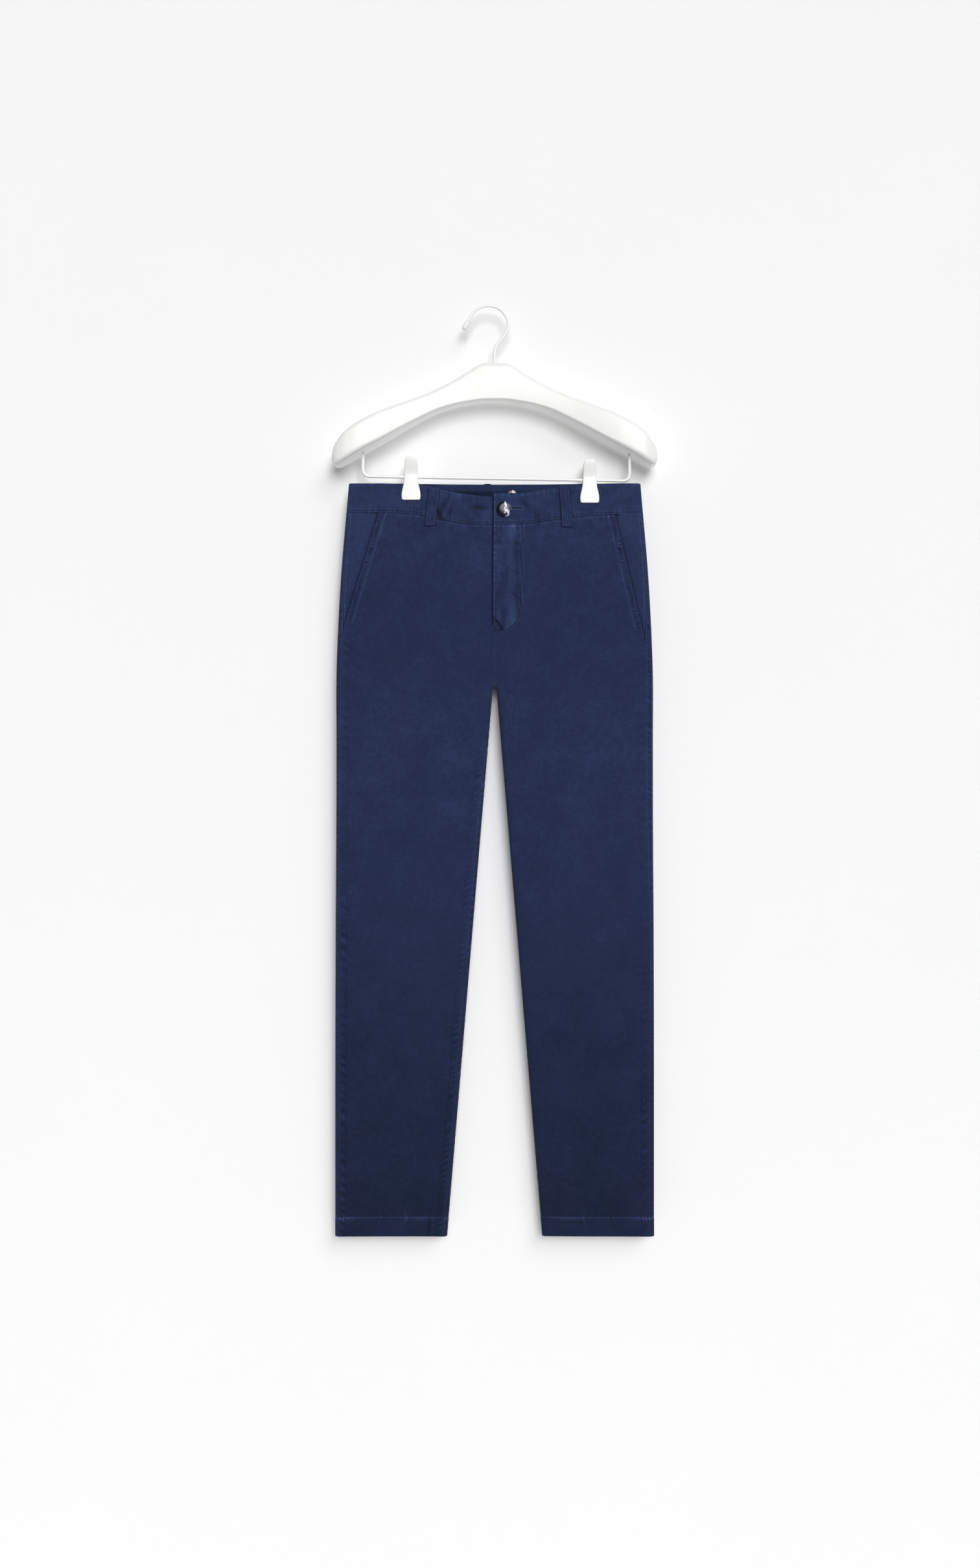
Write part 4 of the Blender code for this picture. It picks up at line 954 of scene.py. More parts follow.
# Seams, in mm: width of the pressed allowance, distance between puckers, their height, and
# the puckers' seed
SEAMS = {
    (FRONT, "side"): (9.7, 13, 0.3, 5),
    (FRONT, "leg"): (9, 9, 0.26, 15),
    (FRONT, "centre"): (4, 6, 0.12, 25),
    (BACK, "side"): (9.7, 6.5, 0.08, 105),
    (BACK, "leg"): (9, 9, 0.24, 115),
    (BACK, "centre"): (7, 8, 0.22, 125),
}


def seam_band(face, seam, side, distance, along):
    """The relief and the tone of the cloth over a seam's pressed allowance."""
    width, period, height, seed = SEAMS[face, seam]
    inside = 1 - smooth(distance, (width - 1.6) * MM, (width + 1.2) * MM)
    waves = ripple(along - 0.5 * distance, period * MM, seed + side) * inside
    waves = waves * smooth(distance, 0.4 * MM, 3 * MM)
    # Painted shade in the seam's groove and at the allowance's edge; the pale ridge beside the seam and the
    # puckers' pale crests and dark troughs are partly worn dye and partly painted light and shade.
    tone = 0.5 * waves + lines(distance, [(0, 0.5, -0.3), (1.1, 0.8, 0.5), (width, 1.2, -0.25)])
    return height * MM * (0.7 * inside + waves), tone


# How the cloth's tone changes down the garment, paler at the hips and darker towards the hems: drop in mm,
# and tone
LENGTHWISE_DROP, LENGTHWISE_TONE = np.array([
    (0, 0.18), (60, 0.12), (130, 0.02), (240, 0.0), (350, 0.08), (460, 0.02), (600, -0.1), (800, -0.36),
    (950, -0.5), (1027, -0.62),
]).T
LENGTHWISE_DROP = LENGTHWISE_DROP * MM
TONE_LIMIT = 1.5             # from the darkest tone to the palest


def coloured(piece, girth, z, tone, row_step, column_step, inner_tone=-0.2):
    """Writes a wall's UV map, in metres of cloth, and the tone on both its faces: the dye's, with painted
    shade and highlights.
    """
    rows, count = girth.shape
    tone = tone + curve_through(drop_of(z + 0 * girth), LENGTHWISE_DROP, LENGTHWISE_TONE)
    inner_tone = inner_tone + 0 * girth
    inner = np.ix_(picked(rows, row_step), picked(count, column_step))
    mesh = piece.data
    places = np.stack([girth, z + 0 * girth], axis=-1)
    places = np.concatenate([places.reshape(-1, 2), places[inner].reshape(-1, 2)])
    corner = np.empty(len(mesh.loops), int)
    mesh.loops.foreach_get("vertex_index", corner)
    mesh.uv_layers.new(name="cloth").data.foreach_set("uv", places[corner].ravel())
    tones = np.concatenate([tone.ravel(), inner_tone[inner].ravel()])
    tones = np.clip(tones, -TONE_LIMIT, TONE_LIMIT)
    mesh.attributes.new("tone", "FLOAT", "POINT").data.foreach_set("value", tones)


def cloth_piece(name, material, side, girth, z, outer_sunk, inner_sunk, tone, steps=(1, 1)):
    """A wall of cloth between two depths under the garment's surface, and its outer points."""
    surface, into = cloth(side, girth, z), inward(side, girth, z)
    outer, inner = (surface + into * (sunk + 0 * girth)[..., None] for sunk in (outer_sunk, inner_sunk))
    piece = wall(name, outer, inner, material, *steps)
    coloured(piece, girth, z, tone, *steps)
    return piece, outer


def fill_ramp(ramp, stops):
    """Sets a ramp's stops, the lowest first: position and sRGB colour."""
    ramp.elements[0].position, ramp.elements[1].position = stops[0][0], stops[-1][0]
    for position, _ in stops[1:-1]:
        ramp.elements.new(position)
    for element, (_, colour) in zip(ramp.elements, stops):
        element.color = linear(colour)


def cotton_twill():
    """Cotton twill, piece-sewn and garment-dyed: matt, with a steep diagonal rib and a cloudy
    navy, paler on ridges and along stitched edges and darker in grooves: partly the dye, and
    partly painted shade and highlight that the tone attribute carries."""
    material, tree, shader = new_material("garment_dyed_cotton_twill", {
        "Roughness": 0.92, "Specular IOR Level": 0.18, "Sheen Weight": 0.05, "Sheen Roughness": 0.6})
    place = add_node(tree, "ShaderNodeTexCoord").outputs["Object"]
    weave = add_node(tree, "ShaderNodeUVMap", uv_map="cloth").outputs[0]
    tone = add_node(tree, "ShaderNodeAttribute", attribute_name="tone").outputs["Fac"]

    # What breaks up the dye: clouds 40 mm across, a mottle of 7 mm, flecks of 2 mm, and the slubs,
    # about 1 mm wide and 11 to 22 mm long, of warp and weft. Each has its scale, detail,
    # roughness and weight.
    warp = add_node(tree, "ShaderNodeMapping", {"Vector": weave, "Scale": (900, 45, 1)}).outputs[0]
    weft = add_node(tree, "ShaderNodeMapping", {"Vector": weave, "Scale": (90, 1100, 1)}).outputs[0]
    shade, texture = tone, {}
    for name, vector, scale, detail, roughness, weight in (
            ("cloud", place, 24.0, 5.0, 0.62, 0.6), ("mottle", place, 150.0, 3.0, 0.7, 0.55),
            ("fleck", place, 420.0, 2.0, 0.5, 0.45), ("warp", warp, 1.0, 2.0, 0.5, 0.3),
            ("weft", weft, 1.0, 2.0, 0.5, 0.35)):
        noise = add_node(tree, "ShaderNodeTexNoise", {
            "Vector": vector, "Scale": scale, "Detail": detail, "Roughness": roughness})
        texture[name] = noise.outputs[0]
        centred = add_node(tree, "ShaderNodeMath", {0: texture[name], 1: -0.5}, operation="ADD")
        shade = add_node(tree, "ShaderNodeMath", {0: centred.outputs[0], 1: weight, 2: shade},
                         operation="MULTIPLY_ADD").outputs[0]
    share = add_node(tree, "ShaderNodeMapRange", {0: shade, 1: -1.6, 2: 1.6}, clamp=True)
    dye_and_painted_shade = add_node(tree, "ShaderNodeValToRGB", {0: share.outputs[0]})
    fill_ramp(dye_and_painted_shade.color_ramp, [(0, "#070a18"), (0.3, "#0c1830"), (0.5, "#1b2646"), (0.7, "#2b395d"),
                               (1, "#5b6a90")])
    purple = add_node(tree, "ShaderNodeTexNoise", {"Vector": place, "Scale": 11.0, "Detail": 3.0})
    blush = add_node(tree, "ShaderNodeMapRange", {0: purple.outputs[0], 1: 0.45, 2: 0.75, 3: 0.0, 4: 0.16})
    tinted = add_node(tree, "ShaderNodeMix", {0: blush.outputs[0], 6: dye_and_painted_shade.outputs[0], 7: linear("#272648")},
                      data_type="RGBA")
    tree.links.new(tinted.outputs[2], shader.inputs["Base Color"])

    # The rib is 0.7 mm apart on the cloth: drawn 1.3 mm apart, so that it shows
    rib_pitch = 1.3 * MM
    rib = add_node(tree, "ShaderNodeTexWave", {
        "Vector": weave, "Scale": 2 * math.pi / (10 * math.sqrt(2) * rib_pitch), "Distortion": 0.6,
        "Detail": 1.0, "Detail Scale": 2.0}, bands_direction="DIAGONAL")
    relief = add_node(tree, "ShaderNodeMath", {0: texture["warp"], 1: 0.9, 2: rib.outputs["Fac"]},
                      operation="MULTIPLY_ADD")
    bump = add_node(tree, "ShaderNodeBump", {"Height": relief.outputs[0], "Strength": 0.35,
                                             "Distance": 0.12 * MM})
    tree.links.new(bump.outputs[0], shader.inputs["Normal"])
    return material


POCKET_BAND = 8.7 * MM
POCKET_STITCH = 1.6 * MM     # the two rows of stitching lie this far in from the band's edges
POCKET_COSINE = 0.958        # of the mouth's slant, from a step across to one square to it
# Rows down a panel, in mm: start, end and step, finest where the crotch closes
FRONT_SPANS = [(40.2, 205, 1.1), (205, 279, 1.75), (279, 283, 0.35), (283, 996, 1.75), (996, 1027, 1.0)]
BACK_SPANS = [(40.2, 120, 1.6), (120, 279, 2.1), (279, 283, 0.35), (283, 996, 2.1), (996, 1027, 1.2)]
MIDDLE_COLUMNS = 78
SIDE_PUCKERS = {RIGHT: 1.0, LEFT: 0.55}
HEM_ARCH = 1.2 * MM          # the front hems are cut a little hollow, to break over a shoe
# The inseam's allowance ends this far from it, under the hem
HEM_ALLOWANCE = {RIGHT: 19.5 * MM, LEFT: 6.5 * MM}
WAIST_SEEDS = {FRONT: 41, BACK: 141}
# Drops between which a thing comes in: the deeper puckers of the lower legs, the legs' inner
# seams on the front and the back, the centre seam under the fly, and the hems' darker tone
CALM_SPAN = (480 * MM, 860 * MM)
FRONT_LEG_SPAN = (CROTCH_DROP + 10 * MM, CROTCH_DROP + 60 * MM)
BACK_LEG_SPAN = (CROTCH_DROP - 10 * MM, CROTCH_DROP + 40 * MM)
CENTRE_SEAM_SPAN = (FLY_CLOSE_DROP, FLY_CLOSE_DROP + 10 * MM)
DARK_HEM_SPAN = (OUTSEAM - 90 * MM, OUTSEAM - 30 * MM)


def hem_relief(above_hem, along):
    """The turned-up hem: its stitch line sunk in, with small puckers above and below it."""
    from_line = above_hem - HEM_HEIGHT
    away = np.abs(from_line)
    groove = line(from_line, 0, 1.1 * MM)
    patchy = drift_along(along, 17 * MM, 3, seed=73)
    waves = ripple(along + 0.4 * away, 4.5 * MM, seed=71) * fading(away, 4.5 * MM) * (1 + 0.6 * patchy)
    band = 1 - smooth(above_hem, HEM_HEIGHT - 0.8 * MM, HEM_HEIGHT + 0.4 * MM)
    relief = 0.2 * MM * band - 0.3 * MM * groove + 0.26 * MM * waves * (1 - 0.5 * groove)
    # The puckers' crests are coloured paler and their troughs darker, partly worn dye and partly painted
    # light and shade. The pale band under the stitch line is worn dye.
    faded = (0.4 + 0.5 * patchy) * line(from_line, -1.4 * MM, 1.8 * MM)
    return relief, 1.2 * waves + 0.2 * band + faded


def fly_front(across, drop, from_edge, open_fly):
    """The left front over the fly: its folded edge, its worn streaks, and the J-stitch's groove."""
    from_j = from_path(across, drop, J_STITCH)
    from_foot = np.minimum(from_path(across, drop, FLY_FOOT), from_path(across, drop, FLY_TACK))
    stitch_across = np.interp(drop, J_STITCH[:, 1], J_STITCH[:, 0], right=-0.1)
    inside = smooth(stitch_across - across, 0, 1.2 * MM)
    streaks = inside * (0.6 * drift(across, drop, 5.5 * MM, 30 * MM, seed=63)
                        + 0.3 * drift(across, drop, 3 * MM, 9 * MM, seed=64)
                        + lines(across, [(22, 7, 0.6), (32, 3, -0.5)]))
    waves = ripple(drop, 8.5 * MM, seed=61) * fading(from_edge, 4.5 * MM) * open_fly
    pinches = ripple(drop + across, 5 * MM, seed=62) * fading(from_j, 3.2 * MM)
    relief = (0.2 * (inside + streaks + pinches) + 0.22 * waves + lines(from_j, [(0, 0.9, -0.45)])
              + lines(from_foot, [(0, 1, -0.35)]) + lines(from_edge, [(1.5, 1, 0.2)]) * open_fly)
    # Tone: painted shade in the J-stitch's groove, along the foot's line and at the fly's folded edge,
    # painted highlights beside the groove and along the fold, and worn streaks; the puckers' light and shade
    # is partly worn dye and partly painted.
    tone = (0.12 * inside + 0.42 * streaks + 0.45 * waves + 0.4 * pinches
            + lines(from_j, [(0, 0.8, -0.75), (1.7, 0.8, 0.45)]) + lines(from_foot, [(0, 0.9, -0.9)])
            + lines(from_edge, [(0, 0.6, -1), (1.4, 0.8, 0.6)]) * open_fly)
    return relief * MM, tone


def pocket_mouth(mouth, drop):
    """The stitched band along a pocket's mouth, at a distance in from its edge."""
    stitches = POCKET_STITCH / MM, (POCKET_BAND - POCKET_STITCH) / MM
    in_band = 1 - smooth(mouth, POCKET_BAND - 0.6 * MM, POCKET_BAND + 1.2 * MM)
    ridges = line(mouth, 4.2 * MM, 2.5 * MM) * (
        ripple(drop + 0.5 * mouth, 3.7 * MM, seed=31) + 0.4 * drift(drop, mouth, 2.6 * MM, 2 * MM, seed=33))
    relief = 0.45 * in_band + 0.34 * ridges + lines(mouth, [(stitch, 0.7, -0.2) for stitch in stitches])
    # Tone: a painted shadow along the mouth's edge and in the inner stitch's groove, a painted highlight just
    # inside the edge, a pale line past the band, and ridges paler than their troughs, partly worn dye and
    # partly painted light and shade.
    tone = 1.25 * ridges + 0.05 * in_band + lines(mouth, [
        (0, 0.5, -0.9), (0.9, 0.6, 0.55), (4, 2.5, -0.2), (stitches[1], 0.7, -0.4),
        (POCKET_BAND / MM + 0.6, 0.8, 0.6)])
    return relief * MM, tone


def leg_panel(name, side, face, girth, z, drops, inset, relief, tone):
    """Adds what every leg panel has at its waist seam, hem and creases, and makes its wall."""
    across, drop = across_at(side, girth, z), drop_of(z)
    below_waist, above_hem = drops - WAISTBAND_HEIGHT, OUTSEAM - drops
    waist_waves = ripple(girth, 7 * MM, WAIST_SEEDS[face]) * fading(below_waist, 7 * MM)
    hem, hem_tone = hem_relief(above_hem, girth)
    relief = relief + 0.2 * MM * waist_waves + hem
    # Painted shade in the waist seam and a pale band below it, puckers paler on their crests, painted shadows
    # beside the belt loops and painted shade in the creases.
    tone = (tone + 0.3 * waist_waves + lines(below_waist, [(0, 0.7, -0.5), (2.4, 1.3, 0.3)]) + hem_tone
            + LOOP_SHADOW_TONE * painted_loop_shadow(face, across, drop)
            + CREASE_SHADE_TONE * folds(CREASE_ROWS, face, across, drop))
    edge = np.minimum(inset, np.minimum(below_waist, above_hem))
    panel, outer = cloth_piece(name, twill, side, girth, z, round_over(edge, EDGE_ROUND) - relief,
                               leg_thickness(z) - np.maximum(relief, 0), tone, (4, 2))
    return panel, {"outer": outer, "drops": drops[:, 0], "z": z}


def front_panel(side, name):
    """A front leg from the waist seam to the hem, cut away at the slanted pocket."""
    drops = row_steps(FRONT_SPANS)[:, None]

    def edges(z):
        outer = np.maximum(side_seam(side, z), girth_at(slant_x(side, z), z)) + HALF_GAP
        return outer, face_run(z) + fly_lap(side, z) - inseam(side, z) - HALF_GAP * crotch_tuck(z)

    level = WAIST_Z - drops
    outer_level, inner_level = edges(level)
    fractions = columns(inner_level - outer_level, MIDDLE_COLUMNS) / (inner_level - outer_level)
    place = np.minimum(slant_x(side, level), outer_x(level))
    dip = sag(SEAM_SAG[side], place + (-fly_lap(side, level) - place) * fractions)
    z = level - HALF_GAP * (drops == drops[0]) - dip * (1 - smooth(drops, WAISTBAND_HEIGHT, SAG_FADE_DROP))
    z = z + HEM_ARCH * (1 - np.abs(2 * fractions - 1) ** 3) * smooth(drops, OUTSEAM - 200 * MM, OUTSEAM)
    outer_edge, inner_edge = edges(z)
    girth = outer_edge + (inner_edge - outer_edge) * fractions

    from_outer, from_inner = girth - outer_edge, inner_edge - girth
    across, drop = across_at(side, girth, z), drop_of(z)
    pocket = 1 - smooth(drop, SLANT_END_DROP[side] - 8 * MM, SLANT_END_DROP[side] - 1 * MM)
    pocket_relief, pocket_tone = pocket_mouth(from_outer * POCKET_COSINE, drop)
    calm = 0.45 + 0.55 * smooth(drop, *CALM_SPAN)
    side_relief, side_tone = seam_band(FRONT, "side", side, from_outer, drop)
    plain_side = (1 - pocket) * SIDE_PUCKERS[side] * calm
    legs = smooth(drop, *FRONT_LEG_SPAN)
    leg_relief, leg_tone = seam_band(FRONT, "leg", side, from_inner, drop)
    centre = smooth(drop, *CENTRE_SEAM_SPAN) * (1 - legs)
    centre_relief, centre_tone = seam_band(FRONT, "centre", side, from_inner, drop)
    turned_up = 1 - smooth(OUTSEAM - drops, HEM_HEIGHT - 1 * MM, HEM_HEIGHT)

    relief = (pocket * pocket_relief + plain_side * side_relief + legs * calm * leg_relief
              + centre * centre_relief)
    tone = (pocket * pocket_tone + plain_side * side_tone + legs * calm * leg_tone
            + 0.4 * centre * centre_tone - 0.1 * smooth(drops, *DARK_HEM_SPAN)
            - 1.1 * line(from_inner, HEM_ALLOWANCE[side], 1.0 * MM) * turned_up + worn(across, drop, seed=81))
    open_fly = 1 - smooth(drop, FLY_END_DROP, FLY_CLOSE_DROP)
    if side == LEFT:
        fly_relief, fly_tone = fly_front(across, drop, from_inner, open_fly)
        relief, tone = relief + fly_relief, tone + fly_tone
    else:
        # painted shadow of the left front's lapped edge, on the right front beside it
        tone = tone - 1.0 * line(across, -FLY_LAP - 0.8 * MM, 1.0 * MM) * open_fly
    inset = np.minimum(from_outer, from_inner)
    return leg_panel(name, side, FRONT, girth, z, drops, inset, relief, tone)


twill = cotton_twill()
fronts = {}
for side, side_name in SIDE_NAMES.items():
    panel, fronts[side] = front_panel(side, f"twill_front_{side_name}")
    dress(panel, "navy_twill", f"front_{side_name}")


# ---------------------------------------------------------------- back panels
# The two back legs, of the same twill, a little fuller over the seat. They meet the
# fronts at the side seams and inseams, and each other at the seat seam.

def back_panel(side, name):
    """A back leg from the waist seam to the hem."""
    drops = row_steps(BACK_SPANS)[:, None]
    level = WAIST_Z - drops - HALF_GAP * (drops == WAISTBAND_HEIGHT)
    outer_edge = side_seam(side, level) - HALF_GAP
    inner_edge = -(face_run(level) + inseam(side, level) - HALF_GAP * crotch_tuck(level))
    from_outer = columns(outer_edge - inner_edge, MIDDLE_COLUMNS)
    girth = outer_edge - from_outer
    z = level + 0 * girth
    from_inner = girth - inner_edge
    x, drop = cloth(side, girth, z)[..., 0], drop_of(z)
    side_relief, side_tone = seam_band(BACK, "side", side, from_outer, drop)
    leg_relief, leg_tone = seam_band(BACK, "leg", side, from_inner, drop)
    seat_relief, seat_tone = seam_band(BACK, "centre", side, from_inner, drop)
    legs = smooth(drop, *BACK_LEG_SPAN)
    relief = side_relief + legs * leg_relief + (1 - legs) * seat_relief
    tone = side_tone + legs * leg_tone + (1 - legs) * seat_tone + worn(x, drop, seed=83)
    inset = np.minimum(from_outer, from_inner)
    return leg_panel(name, side, BACK, girth, z, drops, inset, relief, tone)


backs = {}
for side, side_name in SIDE_NAMES.items():
    panel, backs[side] = back_panel(side, f"twill_back_{side_name}")
    dress(panel, "navy_twill", f"back_{side_name}")


# -------------------------------------------------------------- pocket facings
# The piece of shell twill inside each slanted pocket mouth, sewn in at the side seam
# and under the waistband, so that the pocket shows no lining.

POCKET_FACING_THICKNESS = 1.0 * MM
POCKET_FACING_UNDERLAP = 14 * MM
POCKET_FACING_BELOW = 16 * MM
POCKET_FACING_SUNK = 2.0 * MM
POCKET_FACING_LEAST_WIDTH = 12 * MM


def pocket_facing(side, name):
    """The facing, level with the back at the side seam and dipping under the mouth."""
    drops = row_steps([(40.6, (SLANT_END_DROP[side] + POCKET_FACING_BELOW) / MM, 1.5)])[:, None]
    level = WAIST_Z - drops
    outer_edge = side_seam(side, level) + HALF_GAP
    inner_edge = girth_at(slant_x(side, level) - POCKET_FACING_UNDERLAP, level)
    inner_edge = np.maximum(inner_edge, outer_edge + POCKET_FACING_LEAST_WIDTH)
    share = np.linspace(0, 1, 34)[None, :] ** 1.4
    girth = outer_edge + (inner_edge - outer_edge) * share
    z = level + 0 * girth
    from_side = girth - outer_edge
    inside_mouth = girth - girth_at(slant_x(side, level), level)
    sunk = (POCKET_FACING_SUNK * smooth(inside_mouth, -14 * MM, -1.5 * MM)
            + round_over(from_side, EDGE_ROUND))
    waves = ripple(drop_of(z), 8.5 * MM, 205 + side) * fading(from_side, 5 * MM)
    # The facing darkens towards and under the front's mouth: painted shadow of the mouth's edge.
    tone = (0.15 + 0.2 * waves + 0.5 * line(from_side, 1.2 * MM, 0.8 * MM)
            - 0.5 * smooth(inside_mouth, -5 * MM, 0) - 0.8 * smooth(inside_mouth, -1.6 * MM, 0))
    facing, _ = cloth_piece(name, twill, side, girth, z, sunk - 0.1 * MM * waves,
                            sunk + POCKET_FACING_THICKNESS, tone, (3, 2))
    return facing


for side, side_name in SIDE_NAMES.items():
    facing = pocket_facing(side, f"twill_pocket_facing_{side_name}")
    dress(facing, "navy_twill", f"pocket_facing_{side_name}")


# ----------------------------------------------------------------- waistbands
# Twill folded over a fused stay, 2.6 mm in all: two front halves, the right one running
# on under the left as a tab, and one back piece from side seam to side seam.

WAISTBAND_UNDERLAP = 37 * MM
BAND_ROWS = row_steps([(0, 40.2, 1.0)]) / WAISTBAND_HEIGHT
BAND_ROUND = 1.0 * MM
BAND_STITCH = 2.7 * MM       # the stitching lies this far above the waist seam
BAND_COLUMNS = 190
BAND_WORN = 1.2              # how unevenly the dye has worn, for the panels' 1
INSIDE_SEAM_DROP = 10.5 * MM  # the twill turns in this far at the back, and then a darker lining
INSIDE_STEP = 0.35 * MM


def band_relief(along, height, low):
    """Puckers off both edges of a waistband, and the stitched line over the waist seam."""
    from_low, from_high = height - low, low + WAISTBAND_HEIGHT - height
    stitch = BAND_STITCH / MM
    waves = ripple(along, 6.5 * MM, seed=301) * fading(from_low, 6 * MM)
    upper = ripple(along, 9 * MM, seed=302) * fading(from_high, 5 * MM)
    relief = 0.16 * waves + 0.1 * upper + lines(from_low, [(stitch, 0.9, -0.25)])
    # Tone: painted shade in the waist seam and in the stitch groove, pale lines beside them and under the top
    # edge, and pucker crests paler than their troughs, partly worn dye and partly painted light and shade.
    tone = (0.06 + 0.35 * waves + 0.25 * upper + lines(from_high, [(1.2, 0.9, 0.3)])
            + lines(from_low, [(0, 0.6, -0.5), (1.1, 0.6, 0.4), (stitch, 0.8, -0.4), (4.5, 1.5, 0.2)]))
    return relief * MM, tone


def waistband_front(side, name):
    """Half the front waistband, sagging between the clips."""
    side_x = outer_x(WAIST_Z) - SIDE_INSET[side][0] - HALF_GAP
    end_x = -WAISTBAND_UNDERLAP if side == RIGHT else -fly_lap(LEFT, WAIST_Z - WAISTBAND_HEIGHT)
    across = side_x - columns(np.array([[side_x - end_x]]), BAND_COLUMNS)
    low = WAIST_Z - WAISTBAND_HEIGHT - sag(SEAM_SAG[side], across) + HALF_GAP
    high = WAIST_Z - sag(TOP_SAG[side], across)
    z = high + (low - high) * BAND_ROWS[:, None]
    girth = girth_at(across, z)
    from_side, from_end = girth - girth[:, :1], girth[:, -1:] - girth
    girth = girth + (side_seam(side, z) + HALF_GAP - girth[:, :1]) * (1 - smooth(from_side, 0, 15 * MM))
    relief, tone = band_relief(girth, z, low)
    under = (from_end < WAISTBAND_UNDERLAP) if side == RIGHT else np.zeros(girth.shape, bool)
    relief, tone = relief * ~under, tone * ~under
    edge = np.minimum(from_end, high - z)
    across, drop = across_at(side, girth, z), drop_of(z)
    # painted shadows beside the belt loops, and painted shade in the creases
    tone = (tone + LOOP_SHADOW_TONE * painted_loop_shadow(FRONT, across, drop)
            + BAND_WORN * worn(across, drop, seed=85)
            + CREASE_SHADE_TONE * folds(CREASE_ROWS, FRONT, across, drop))
    if side == LEFT:
        slit = from_path(across, drop, BUTTONHOLE)
        relief = relief + MM * lines(slit, [(0, 0.8, -0.5), (1.6, 0.8, 0.35)])
        # The buttonhole's slit is dark and its rim pale; the band's end has painted shade at its edge and a
        # painted highlight just inside it.
        tone = (tone + lines(slit, [(0, 1, -1.6), (2, 0.8, 0.5)])
                + lines(from_end, [(0, 0.5, -0.6), (1.2, 0.8, 0.5)]))
    else:
        # painted shadow of the left band's end on the tab under it
        tone = tone - 1.1 * line(across, -FLY_TOP_LAP - 0.8 * MM, 1.5 * MM)
    fallen = np.maximum(round_over(edge, BAND_ROUND), round_over(z - low, EDGE_ROUND))
    band, outer = cloth_piece(name, twill, side, girth, z, fallen - relief,
                              WAISTBAND_THICKNESS - round_over(high - z, BAND_ROUND), tone, (2, 2))
    return band, {"outer": outer, "z": z}


def waistband_back(name):
    """The back waistband in one piece. Its inner face shows above the sagging front."""
    low, high = WAIST_Z - WAISTBAND_HEIGHT + HALF_GAP, WAIST_Z
    z = (high + (low - high) * BAND_ROWS)[:, None]
    halves = []
    for side in (RIGHT, LEFT):
        outer_edge = side_seam(side, z) - HALF_GAP
        width = outer_edge + face_run(z) + inner_x(z)
        girth = outer_edge - columns(width, BAND_COLUMNS)[:, :-len(EDGE_STEPS) + 1]
        heights = z + 0 * girth
        above, drop = heights - low, high - heights
        relief, tone = band_relief(girth, heights, low)
        surface, into = cloth(side, girth, heights), inward(side, girth, heights)
        fallen = np.maximum(round_over(drop, BAND_ROUND), round_over(above, EDGE_ROUND))
        outer = surface + into * (fallen - relief)[..., None]
        lining = smooth(drop, INSIDE_SEAM_DROP, INSIDE_SEAM_DROP + 1 * MM)
        groove = line(drop, INSIDE_SEAM_DROP, 0.8 * MM)
        puckers = ripple(girth, 2.4 * MM, seed=311) * line(drop, 5 * MM, 3 * MM)
        inside = 0.1 * MM * puckers - INSIDE_STEP * lining - 0.25 * MM * groove
        depth = WAISTBAND_THICKNESS + inside - round_over(np.minimum(drop, above), BAND_ROUND)
        inner = surface + into * depth[..., None]
        x = surface[..., 0]
        # painted shadows beside the belt loops
        tone = (tone + LOOP_SHADOW_TONE * painted_loop_shadow(BACK, x - CENTRE_X, drop)
                + BAND_WORN * worn(x, drop, seed=87))
        # painted shade in the inside seam's groove; the lining below it is coloured darker
        inner_tone = 0.05 + 0.2 * puckers - 0.75 * lining - 0.6 * groove
        halves.append((outer, inner, girth * side, tone, inner_tone))
    outer, inner, girth, tone, inner_tone = (
        np.concatenate([right, left[:, ::-1]], axis=1) for right, left in zip(*halves))
    band = wall(name, outer, inner, twill, 1, 1)
    coloured(band, girth, z, tone, 1, 1, inner_tone)
    return band, {"outer": outer, "inner": inner}


bands = {}
for side, side_name in SIDE_NAMES.items():
    band, bands[side] = waistband_front(side, f"twill_waistband_front_{side_name}")
    dress(band, "navy_twill", f"waistband_front_{side_name}")
back_band, back_band_faces = waistband_back("twill_waistband_back")
dress(back_band, "navy_twill", "waistband_back")


# --------------------------------------------------------- zip and fly shield
# A tape with moulded teeth sewn behind the left fly lap, and a doubled strip of twill
# behind it. Both hang hidden from just under the waist seam.

FLY_SHIELD_WIDTH = 46 * MM
FLY_SHIELD_OUTER_X = 38 * MM
FLY_SHIELD_THICKNESS = 1.4 * MM
ZIP_WIDTH = 27 * MM
ZIP_OUTER_X = 25 * MM
ZIP_THICKNESS = 1.0 * MM
ZIP_LENGTH = 136 * MM
ZIP_SUNK = WAISTBAND_THICKNESS + SEAM_GAP + CLOTH_THICKNESS + SEAM_GAP
FLY_SHIELD_LENGTH = ZIP_LENGTH + 6 * MM
FLY_SHIELD_SUNK = ZIP_SUNK + ZIP_THICKNESS + SEAM_GAP
STRIP_ROWS, STRIP_COLUMNS = 70, 21


def zip_cloth():
    """Polyester zip tape: a tight weave in fine ribs, a little glossier than the twill."""
    material, tree, shader = new_material("woven_zip_tape", {"Roughness": 0.7, "Specular IOR Level": 0.3})
    weave = add_node(tree, "ShaderNodeUVMap", uv_map="cloth").outputs[0]
    rib = add_node(tree, "ShaderNodeTexWave", {"Vector": weave, "Scale": 0.314 / (1.1 * MM)})
    tint = add_node(tree, "ShaderNodeMix", {
        0: rib.outputs["Fac"], 6: linear("#10131f"), 7: linear("#1b2136")}, data_type="RGBA")
    bump = add_node(tree, "ShaderNodeBump", {"Height": rib.outputs["Fac"], "Strength": 0.4,
                                             "Distance": 0.1 * MM})
    tree.links.new(tint.outputs[2], shader.inputs["Base Color"])
    tree.links.new(bump.outputs[0], shader.inputs["Normal"])
    return material


